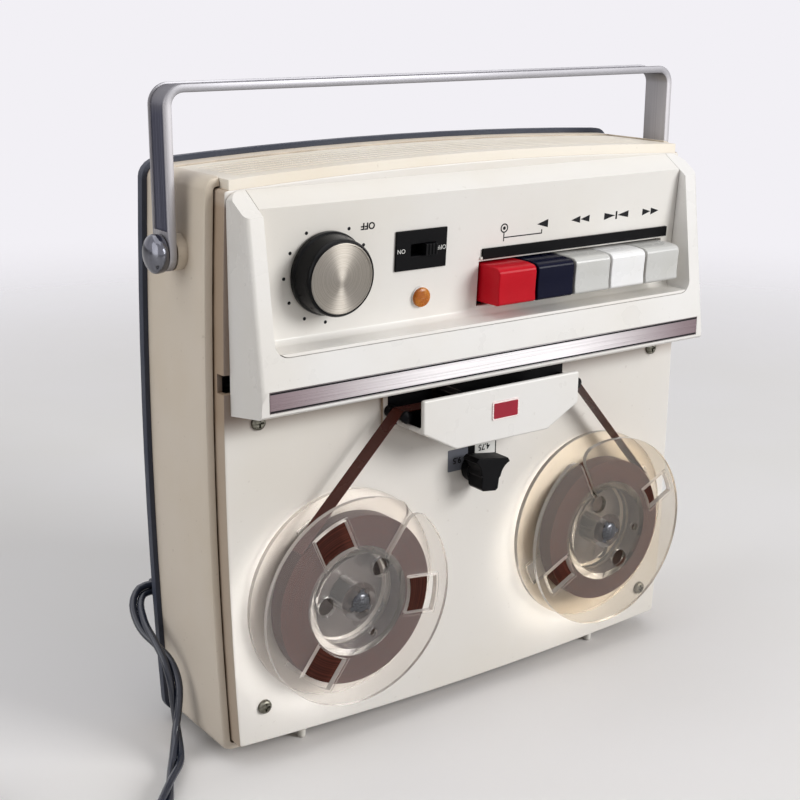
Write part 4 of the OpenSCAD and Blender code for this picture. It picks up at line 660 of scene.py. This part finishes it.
def makeCord():
    points = cordPoints()
    frames = carriedFrames(smoothLine(points, cordLine["step"] * mm))
    strand = cordLine["strand"] * mm / 2
    bm = bmesh.new()
    for phase in (0, math.pi):
        rings, along = [], 0.0
        for i, (point, side, rise) in enumerate(frames):
            along += (point - frames[i - 1][0]).length if i else 0
            twist = phase + 2 * math.pi * along / (cordLine["lay"] * mm)
            middle = point + strand * (math.cos(twist) * side + math.sin(twist) * rise)
            rings.append([middle + strand * (c * side + s * rise) for c, s in around(cordLine["sides"])])
        addTube(bm, rings)
    cord = addPiece("mains_cord", meshFrom("mains_cord", bm, 60), "cordPvc")
    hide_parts("cord_run", "cord_coil")
    length = sum((b - a).length for a, b in zip(points, points[1:]))
    return cord, points, length


cord, cordPath, cordLength = makeCord()
print("cord:", round(cordLength, 3), "m")


# Plug, gland and tie on the cord
def makeCordFittings():
    gland = eased("cord_gland", "cordPvc", 0.5)
    tie = eased("cord_tie", "blackSatin", 0.35)
    plug = eased("plug", "cordPvc", 1.1, 3)
    plug.data.materials.append(finishes["pinBrass"])
    ahead = (cordPath[-1] - cordPath[-2]).normalized()
    ahead.z = 0
    for face in plug.data.polygons:
        if (face.center - cordPath[-1]).dot(ahead.normalized()) > cordLine["plugBody"] * mm:
            face.material_index = 1
    tuple(cordPath[0])
    [tuple(p) for p in cordPath]


makeCordFittings()

# Shells: node, finish, edge width in millimetres, segments if not 2; False where close edges keep their width
shells = [
    ("case_tub", "caseCream", 0.35),
    ("deck_plate", "deckWhite", 0.35),
    ("control_housing", "housingCream", 0.9, 3),
    ("control_panel", "panelCream", 0.5),
    ("top_grille", "grilleCream", 0.25, 1),
    ("back_cover", "coverSlate", 0.5),
    ("head_cover", "housingCream", 0.8, 3),
    ("volume_knob", "blackGloss", 0.3),
    ("speed_knob", "blackSatin", 0.35, 2, False),
    ("switch_plate", "blackSatin", 0.2),
    ("switch_slider", "blackGloss", 0.2),
    ("key_record", "keyRed", 0.45, 2, False),
    ("key_play", "keyNavy", 0.45, 2, False),
    ("key_forward", "keyGrey", 0.45, 2, False),
    ("key_stop", "keyWhite", 0.45, 2, False),
    ("key_rewind", "keyGrey", 0.45, 2, False),
    ("handle_pivots", "chrome", 0.4),
    ("case_feet", "pegWhite", 0.2, 1),
    ("base_pads", "blackRubber", 0.4),
    ("lamp_holder", "housingCream", 0.12),
]
for shell in shells:
    eased(*shell)
print("shells eased:", len(shells))

# The grille's front lip comes down to the deck's upper edge
lip = {"frontOf": -10.0, "drop": 1.3}


def lowerLip():
    mesh = bpy.data.objects["top_grille_eased"].data
    front = [f for f in mesh.polygons if f.normal.z < -0.5 and f.center.y < lip["frontOf"] * mm]
    for index in {v for f in front for v in f.vertices}:
        mesh.vertices[index].co.z -= lip["drop"] * mm


lowerLip()

# Clear reels: painted highlight on the edge faces of the rims, windows and slots, whiter and less clear than the
# rest
reels = {"takeup": "reelClear", "supply": "reelAged"}
reelEdges = {"ease": 0.14, "hubReach": 20.4, "flat": 0.85}


def makeReels():
    for side, finish in reels.items():
        piece = eased(side + "_reel", finish, reelEdges["ease"], 1)
        piece.data.materials.append(finishes["reelEdge"])
        axis = Vector(reelCentre[side]) * mm
        for face in piece.data.polygons:
            away = math.hypot(face.center.x - axis.x, face.center.z - axis.z)
            if abs(face.normal.y) < reelEdges["flat"] and away > reelEdges["hubReach"] * mm:
                face.material_index = 1
        piece.visible_shadow = False


makeReels()
print("reels made")

# Nodes that keep their own mesh, by finish
ownMesh = {
    "trimAluminium": ["trim_strip"],
    "takeupPack": ["takeup_tape"],
    "supplyPack": ["supply_tape"],
    "tapeRibbon": ["tape_run"],
    "lensAmber": ["lamp_lens"],
    "spindleSteel": ["capstan_shaft"],
    "plainSteel": ["erase_head", "play_head", "pinch_arm", "drive_motor", "volume_shaft", "volume_pot",
                   "key_shaft", "key_frame", "key_springs", "chassis"],
    "plainBrass": ["motor_pulley"],
    "oiledBronze": ["shaft_bushes"],
    "flywheelBrass": ["flywheel"],
    "blackRubber": ["takeup_belt", "drive_belt", "pinch_roller"],
    "blackSatin": ["tape_guides", "battery_box"],
    "deckWhite": ["head_base"],
    "resinBoard": ["amp_board"],
    "coreIron": ["power_transformer"],
    "speakerPaper": ["loudspeaker"],
}
for finish, names in ownMesh.items():
    for name in names:
        for slot in nodes[name].material_slots:
            slot.material = finishes[finish]
print("inner pieces painted")

# The leaning panel's plane: where it turns over at the top, and its lean
panelPlane = {"breakY": -26.136, "breakZ": 197.5, "lean": 3.86}

# Handle strap: swept section with a channel in its outer face, arms rounded below the pivots
handleStrap = {
    "outX": 111.99,
    "pivotZ": 181.0,
    "topZ": 234.8,
    "middleY": 4.4,
    "width": 12.0,
    "thick": 2.7,
    "ease": 0.4,
    "corner": 7.0,
    "cornerSteps": 16,
    "endAngles": (86, 75, 60, 45, 30, 15, 0),
    "channel": 9.6,
    "channelLow": 188.5,
    "channelRise": 0.05,
    "depth": 0.5,
    "wall": 0.1,
    "flush": 0.01,
}


def strapStations():
    h = handleStrap
    x, z, half = h["outX"] - h["corner"], h["topZ"] - h["corner"], h["width"] / 2
    arm = []
    for angle in h["endAngles"]:
        a = math.radians(angle)
        arm.append(((-h["outX"], h["pivotZ"] - half * math.sin(a)), (1, 0), half * math.cos(a)))
    for level in (h["channelLow"], h["channelLow"] + h["channelRise"]):
        arm.append(((-h["outX"], level), (1, 0), half))
    for k in range(h["cornerSteps"] + 1):
        a = math.radians(180 - 90 * k / h["cornerSteps"])
        arm.append(((-x + h["corner"] * math.cos(a), z + h["corner"] * math.sin(a)),
                    (-math.cos(a), -math.sin(a)), half))
    return arm + [((-p[0], p[1]), (-n[0], n[1]), wide) for p, n, wide in arm[::-1]]


def strapSection(half, depth):
    h = handleStrap
    e, t, wall = min(h["ease"], half / 3), h["thick"], h["wall"]
    c, i = min(h["channel"] / 2, half - 2 * e), 0.3 * e
    return [(-half + e, 0), (-c, 0), (-c + wall, depth), (c - wall, depth), (c, 0), (half - e, 0), (half - i, i),
            (half, e), (half, t - e), (half - i, t - i), (half - e, t), (-half + e, t), (-half + i, t - i),
            (-half, t - e), (-half, e), (-half + i, i)]


def makeHandle():
    h = handleStrap
    rings = []
    for (x, z), (nx, nz), half in strapStations():
        depth = h["depth"] if z > h["channelLow"] else h["flush"]
        section = strapSection(half, depth)
        rings.append([Vector((x + nx * t, h["middleY"] + y, z + nz * t)) * mm for y, t in section])
    bm = bmesh.new()
    addTube(bm, rings)
    strap = addPiece("handle_strap", meshFrom("handle_strap", bm, 24), "strapAluminium", "handle")
    # Painted reflection: the channel's faces take the dark channel finish
    strap.data.materials.append(finishes["strapChannel"])
    channelFace, perRing = 2, len(rings[0])
    for i, face in enumerate(strap.data.polygons[:perRing * (len(rings) - 1)]):
        if i % perRing == channelFace and face.center.z > h["channelLow"] * mm:
            face.material_index = 1
    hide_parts("handle")


makeHandle()

# Volume knob's cap: turned disc with a shallow dish, in its own place on the leaning panel
capDisc = {
    "radius": 11.8,
    "sides": 96,
    "shoulder": ((0, 0.3), (0.1, 0.08), (0.3, 0)),  # in from the edge, down from the top
    "rim": 0.5,
    "dish": 0.25,
    "dishWall": 0.15,
    "dishRings": (0.8, 0.6, 0.4, 0.2, 0.06),  # of the radius
}


def makeKnobCap():
    lean = math.radians(panelPlane["lean"])
    outward = Vector((0, -math.cos(lean), -math.sin(lean)))
    rise = Vector((0, -math.sin(lean), math.cos(lean)))
    boxLow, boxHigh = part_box("knob_cap")
    middle = (Vector(boxLow) + Vector(boxHigh)) / 2
    node = nodes["knob_cap"]
    heights = [(node.matrix_world @ v.co - middle).dot(outward) for v in node.data.vertices]
    low, high = min(heights), max(heights)
    r, rim, floor = capDisc["radius"], capDisc["radius"] - capDisc["rim"], high - capDisc["dish"] * mm
    profile = [(r, low), *((r - inward, high - down * mm) for inward, down in capDisc["shoulder"]), (rim, high),
               (rim - capDisc["dishWall"], floor), *((r * share, floor) for share in capDisc["dishRings"])]
    bm = bmesh.new()
    addTube(bm, [[middle + outward * height + reach * mm * (c * Vector((1, 0, 0)) + s * rise)
                  for c, s in around(capDisc["sides"])] for reach, height in profile])
    cap = addPiece("knob_cap_disc", meshFrom("knob_cap_disc", bm, 30), "capSpun", "volume")
    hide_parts("knob_cap")


# Spindles: steel post, grey seat under the reel
spindles = {"ease": 0.15, "postRadius": 4.6}


def makeSpindles():
    for side, axis in reelCentre.items():
        piece = eased(side + "_spindle", "spindleSteel", spindles["ease"], 1)
        piece.data.materials.append(finishes["seatGrey"])
        for face in piece.data.polygons:
            away = math.hypot(face.center.x - axis[0] * mm, face.center.z - axis[2] * mm)
            if away > spindles["postRadius"] * mm:
                face.material_index = 1


makeKnobCap()
makeSpindles()
print("handle, knob cap and spindles made")

# Screws: dull heads with a cross recess; a screw's wider end is its head
screwHead = {"armLength": 3.0, "armWidth": 0.75, "depth": 0.8, "above": 2.0, "endReach": 1.5}


def crossCutter(bm, middle, outward):
    reach, half = screwHead["armLength"] * mm / 2, screwHead["armWidth"] * mm / 2
    corners = [(half, reach), (-half, reach), (-half, half), (-reach, half), (-reach, -half), (-half, -half),
               (-half, -reach), (half, -reach), (half, -half), (reach, -half), (reach, half), (half, half)]
    addTube(bm, [[middle + Vector((x, outward * d * mm, z)) for x, z in corners]
                 for d in (-screwHead["depth"], screwHead["above"])])


def islands(bm):
    seen = set()
    for start in bm.verts:
        if start in seen:
            continue
        seen.add(start)
        found = [start]
        for vert in found:  # grows while it is walked
            near = [e.other_vert(vert) for e in vert.link_edges]
            found += [v for v in near if v not in seen]
            seen.update(near)
        yield found


def makeScrews():
    bm = cleanCopy("screws")
    cutter = bmesh.new()
    for verts in islands(bm):
        ys = [v.co.y for v in verts]
        front, back = (max(v.co.x for v in verts if abs(v.co.y - y) < screwHead["endReach"] * mm)
                       for y in (min(ys), max(ys)))
        outward, top = (-1, min(ys)) if front > back else (1, max(ys))
        middle = sum((v.co for v in verts), Vector()) / len(verts)
        crossCutter(cutter, Vector((middle.x, top, middle.z)), outward)
    screws = addPiece("cross_screws", meshFrom("cross_screws", bm), "screwSteel")
    tool = bpy.data.objects.new("cutter", meshFrom("cutter", cutter))
    bpy.context.scene.collection.objects.link(tool)
    cut = screws.modifiers.new("cross", "BOOLEAN")
    cut.operation = "DIFFERENCE"
    cut.object = tool
    applyModifiers(screws)
    bpy.data.objects.remove(tool)
    smoothen(screws.data, 30)
    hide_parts("screws")


makeScrews()
print("screws made")

# Flat outlines in x and z, standing a little proud of the face that carries them; millimetres
ink = {"thick": 0.06, "sunk": 0.05}


def onPanel(x, z, lift):
    lean = math.radians(panelPlane["lean"])
    y = panelPlane["breakY"] + (panelPlane["breakZ"] - z) * math.tan(lean)
    return Vector((x, y, z)) * mm + Vector((0, -math.cos(lean), -math.sin(lean))) * lift * mm


def onFace(y):
    return lambda x, z, lift: Vector((x, y - lift, z)) * mm


def addPrint(bm, outline, face, thick=ink["thick"]):
    addTube(bm, [[face(x, z, lift) for x, z in outline] for lift in (-ink["sunk"], thick)])


def disc(x, z, r, count=20):
    return [(x + r * c, z + r * s) for c, s in around(count)]


def bar(x0, x1, z0, z1):
    return [(x0, z0), (x1, z0), (x1, z1), (x0, z1)]


def arrow(base, tip, z, half):
    return [(base, z - half), (base, z + half), (tip, z)]


def addRing(bm, x, z, outer, inner, face, count=28):
    spokes = around(count)
    for a, b in zip(spokes, spokes[1:] + spokes[:1]):
        corners = ((outer, a), (outer, b), (inner, b), (inner, a))
        addPrint(bm, [(x + r * c, z + r * s) for r, (c, s) in corners], face)


def roundedBar(x0, x1, z0, z1, r, count=6):
    outline = []
    for x, z, start in ((x1 - r, z1 - r, 0), (x0 + r, z1 - r, 90), (x0 + r, z0 + r, 180), (x1 - r, z0 + r, 270)):
        turns = [math.radians(start + 90 * k / count) for k in range(count + 1)]
        outline += [(x + r * math.cos(t), z + r * math.sin(t)) for t in turns]
    return outline


# Words and numbers from Blender's own font, turned upside down as on the panel
lettering = {"extrude": 0.02, "relief": 2}


def addWords(name, words, height, x, z, face, finish, lift=0.05, bold=0.0):
    curve = bpy.data.curves.new(name, "FONT")
    curve.body = words
    curve.size = 1.0
    curve.align_x = "CENTER"
    curve.align_y = "CENTER"
    curve.extrude = lettering["extrude"]
    curve.offset = bold
    holder = bpy.data.objects.new(name + "_curve", curve)
    bpy.context.scene.collection.objects.link(holder)
    mesh = bpy.data.meshes.new_from_object(holder.evaluated_get(bpy.context.evaluated_depsgraph_get()))
    bpy.data.objects.remove(holder)
    ys = [v.co.y for v in mesh.vertices]
    size = height / (max(ys) - min(ys))
    middle = (max(ys) + min(ys)) / 2
    for v in mesh.vertices:
        v.co = face(x - v.co.x * size, z - (v.co.y - middle) * size, lift + v.co.z * lettering["relief"])
    mesh.update()
    smoothen(mesh, 30)
    return addPiece(name, mesh, finish)


# Marks on the panel: transport signs over the keys, volume dots round the knob
signs = {
    "z": 182.4,
    "recordX": 7.3,
    "recordRing": (1.7, 1.25),
    "recordDot": 0.65,
    "playX": 25.0,
    "playArrow": (27.8, 22.6),  # base, tip
    "playHalf": 1.5,
    "lineHalf": 0.2,
    "lineGap": 0.22,
    "lineLow": 177.7,
    "lineTop": 1.75,  # under the signs' height
    "branchZ": 179.0,
    "branchTop": 180.4,
    "arrowHalf": 1.3,
    "arrows": ((43.5, 39.1), (48.1, 43.7), (55.6, 61.2), (68.0, 62.4), (75.4, 79.6), (79.8, 84.0)),
    "stopBar": (61.4, 62.2),
    "stopHalf": 1.5,
    "stopThick": 0.07,
}
dots = {"centre": (knobCentre[0] + 0.4, knobCentre[2] - 0.5), "radius": 16.4, "size": 0.6, "sides": 12,
        "angles": (30, 60, 120, 150, 180, 210, 240, 270)}
volumeOff = {"height": 2.4, "x": -51.5, "z": 188.5, "bold": 0.025}


def makePanelMarks():
    s = signs
    z, w, gap, record, play, branch = (s[k] for k in ("z", "lineHalf", "lineGap", "recordX", "playX", "branchZ"))
    bm = bmesh.new()
    addRing(bm, record, z, *s["recordRing"], onPanel)
    flat = [disc(record, z, s["recordDot"]),
            bar(record - w, record + w, s["lineLow"], z - s["lineTop"]),
            bar(record + gap, play + w, branch - w, branch + w),
            bar(play - w, play + w, branch + gap, s["branchTop"]),
            arrow(*s["playArrow"], z, s["playHalf"])]
    flat += [arrow(base, tip, z, s["arrowHalf"]) for base, tip in s["arrows"]]
    for outline in flat:
        addPrint(bm, outline, onPanel)
    addPrint(bm, bar(*s["stopBar"], z - s["stopHalf"], z + s["stopHalf"]), onPanel, s["stopThick"])
    for angle in dots["angles"]:
        turn = math.radians(angle)
        x, z = (c + dots["radius"] * part for c, part in zip(dots["centre"], (math.cos(turn), math.sin(turn))))
        addPrint(bm, disc(x, z, dots["size"], dots["sides"]), onPanel)
    addPiece("panel_marks", meshFrom("panel_marks", bm), "printInk")
    off = addWords("volume_off_mark", "OFF", volumeOff["height"], volumeOff["x"], volumeOff["z"], onPanel,
                   "printInk", bold=volumeOff["bold"])


# Bare black legend strip over the keys
legend = {"x": (-2.3, 88.8), "z": (172.15, 175.9), "round": 0.3, "thick": 0.8}


def makeLegend():
    bm = bmesh.new()
    addPrint(bm, roundedBar(*legend["x"], *legend["z"], legend["round"]), onPanel, legend["thick"])
    addPiece("legend_strip", meshFrom("legend_strip", bm), "blackSatin")


# Words on the switch plate
switchWords = {"height": 1.5, "lift": 0.82, "z": 178.6, "places": {"ON": -38.0, "OFF": -20.9}}


def makeSwitchWords():
    for word, x in switchWords["places"].items():
        piece = addWords("switch_" + word.lower(), word, switchWords["height"], x, switchWords["z"], onPanel,
                         "printWhite", switchWords["lift"])


# Black lines along the trim strip's edges
stripLines = {"height": 0.6, "inset": 0.1, "front": -36.6, "thick": 0.04}


def makeStripLines():
    low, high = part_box("trim_strip")
    x0, x1 = low.x / mm + stripLines["inset"], high.x / mm - stripLines["inset"]
    bm = bmesh.new()
    for z in (low.z / mm + stripLines["inset"], high.z / mm - stripLines["inset"] - stripLines["height"]):
        addPrint(bm, bar(x0, x1, z, z + stripLines["height"]), onFace(stripLines["front"]), stripLines["thick"])
    addPiece("strip_lines", meshFrom("strip_lines", bm), "printInk")


# Plain red badge with a silver border on the head cover; layers: name, inset, thickness, finish, slot
badge = {"middle": (0.6, 119.5), "width": 12.2, "height": 6.9, "front": -36.3, "round": 0.8,
         "layers": (("badge_frame", 0, 0.35, "badgeSilver", "aluminium"),
                    ("badge_enamel", 0.6, 0.45, "enamelRed", "key_red"))}


def makeBadge():
    x, z = badge["middle"]
    for name, inset, thick, finish, slot in badge["layers"]:
        w, h = badge["width"] / 2 - inset, badge["height"] / 2 - inset
        bm = bmesh.new()
        outline = roundedBar(x - w, x + w, z - h, z + h, badge["round"] - inset / 2)
        addPrint(bm, outline, onFace(badge["front"]), thick)
        addPiece(name, meshFrom(name, bm), finish)


# Number plate behind the speed knob: grey and white fields with a black bar between them
speedPlates = {
    "front": -18.3,
    "thick": 0.2,
    "round": 0.3,
    "digits": {"height": 2.4, "aside": 0.5, "down": 4.4, "bold": 0.02},
    "plates": (  # name, finish, slot, x and z limits, number
        ("speed_plate_slow", "labelGrey", "white_plastic", (-11.1, -1.9, 92.7, 101.0), "9.5"),
        ("speed_plate_bar", "blackSatin", "black_plastic", (-1.8, 1.3, 92.6, 104.0), None),
        ("speed_plate_fast", "labelWhite", "white_plastic", (1.4, 11.0, 94.0, 104.0), "4.75"),
        ("speed_plate_edge", "printInk", "black_plastic", (11.05, 11.5, 94.0, 104.0), None),
    ),
}


def makeSpeedPlates():
    face, thick, digits = onFace(speedPlates["front"]), speedPlates["thick"], speedPlates["digits"]
    for name, finish, slot, area, number in speedPlates["plates"]:
        bm = bmesh.new()
        addPrint(bm, roundedBar(*area, min(speedPlates["round"], (area[1] - area[0]) / 3)), face, thick)
        addPiece(name, meshFrom(name, bm), finish)
        if number:
            x, z = (area[0] + area[1]) / 2 - digits["aside"], area[3] - digits["down"]
            words = addWords(name + "_number", number, digits["height"], x, z, face, "printInk", thick,
                             digits["bold"])


# Painted shade: a black sheet behind the heads, where the gap between housing and head cover lies in shade;
# lower between its ramps
headShadeSheet = {"x": (-39.0, 42.5), "z": (109.6, 126.8), "ends": (115.8, 116.6), "ramps": (-33, -20.5, 20.5, 33.5),
             "front": -19.5, "thick": 0.15}


def makeHeadShadeSheet():
    (x0, x1), (z0, z1), (left, right) = headShadeSheet["x"], headShadeSheet["z"], headShadeSheet["ends"]
    a, b, c, d = headShadeSheet["ramps"]
    bm = bmesh.new()
    addPrint(bm, [(x0, z1), (x0, left), (a, left), (b, z0), (c, z0), (d, right), (x1, right), (x1, z1)],
             onFace(headShadeSheet["front"]), headShadeSheet["thick"])
    addPiece("head_liner", meshFrom("head_liner", bm), "blackSatin")


makePanelMarks()
makeLegend()
makeSwitchWords()
makeStripLines()
makeBadge()
makeSpeedPlates()
makeHeadShadeSheet()
print("marks and plates made")

# Floor, light and background, in metres and watts
studio = {
    "floorTone": (234, 232, 230),
    "backTone": (242, 240, 245),
    "bounceTone": (150, 147, 144),  # the floor, in the light that it throws back
    "lightTone": (250, 250, 252),
    "ambient": 0.25,
    "floorSize": 40.0,
    "floorRough": 0.6,
    "floorShine": 0.2,
    "mottleScale": 6,
    "mottleShare": 0.25,
    "fade": (0.35, 1.1),
    "lamps": (  # name, place, size, power
        ("key", (0.9, -1.35, 0.72), 0.8, 23.0),
        ("fill", (-1.5, 0.1, 0.6), 1.2, 7.0),
        ("top", (-0.2, 0.2, 1.5), 1.8, 10.0),
    ),
    "aim": (0, 0, 0.1),
}


# 1 where the camera, a reflection or a clear piece looks
def shownRay(tree, path):
    mirrored = maths(tree, "MAXIMUM", path.outputs["Is Camera Ray"], path.outputs["Is Glossy Ray"])
    return maths(tree, "MAXIMUM", mirrored, path.outputs["Is Transmission Ray"])


def mixShaders(tree, share, first, second, output):
    mix = tree.nodes.new("ShaderNodeMixShader")
    for socket, source in zip(mix.inputs, (share, first.outputs[0], second.outputs[0])):
        tree.links.new(source, socket)
    tree.links.new(mix.outputs[0], tree.nodes[output].inputs["Surface"])


def makeFloor():
    bm = bmesh.new()
    bmesh.ops.create_grid(bm, x_segments=8, y_segments=8, size=studio["floorSize"] / 2)
    floor = bpy.data.objects.new("floor", meshFrom("floor", bm))
    material, tree, shader = startFinish("paleFloor", {"Roughness": studio["floorRough"],
                                                       "Specular IOR Level": studio["floorShine"]})
    where = place(tree)
    mottle = span(tree, cloud(tree, where, studio["mottleScale"]), *midBand, 0, studio["mottleShare"])
    pale = mixTone(tree, mottle, studio["floorTone"], studio["backTone"])
    path = tree.nodes.new("ShaderNodeLightPath")
    feed(tree, shader, {"Base Color": mixTone(tree, shownRay(tree, path), studio["bounceTone"], pale)})
    # the floor fades into the background with distance
    far = span(tree, radius(tree, where), *studio["fade"])
    clear = tree.nodes.new("ShaderNodeBsdfTransparent")
    faded = maths(tree, "MULTIPLY", far, path.outputs["Is Camera Ray"])
    mixShaders(tree, faded, shader, clear, "Material Output")
    floor.data.materials.append(material)
    bpy.context.scene.collection.objects.link(floor)


def makeWorld():
    world = bpy.data.worlds.new("studio")
    world.use_nodes = True
    bpy.context.scene.world = world
    tree = world.node_tree
    light = tree.nodes["Background"]
    light.inputs["Color"].default_value = tone(*studio["lightTone"])
    light.inputs["Strength"].default_value = studio["ambient"]
    seen = tree.nodes.new("ShaderNodeBackground")
    seen.inputs["Color"].default_value = tone(*studio["backTone"])
    path = tree.nodes.new("ShaderNodeLightPath")
    mixShaders(tree, shownRay(tree, path), light, seen, "World Output")


def makeLamps():
    for name, spot, size, power in studio["lamps"]:
        lamp = bpy.data.lights.new(name, "AREA")
        lamp.size = size
        lamp.energy = power
        holder = bpy.data.objects.new(name, lamp)
        holder.location = spot
        holder.rotation_euler = (Vector(studio["aim"]) - Vector(spot)).to_track_quat("-Z", "Y").to_euler()
        bpy.context.scene.collection.objects.link(holder)


makeFloor()
makeWorld()
makeLamps()
bpy.context.scene.view_settings.view_transform = "Standard"
print("studio set")
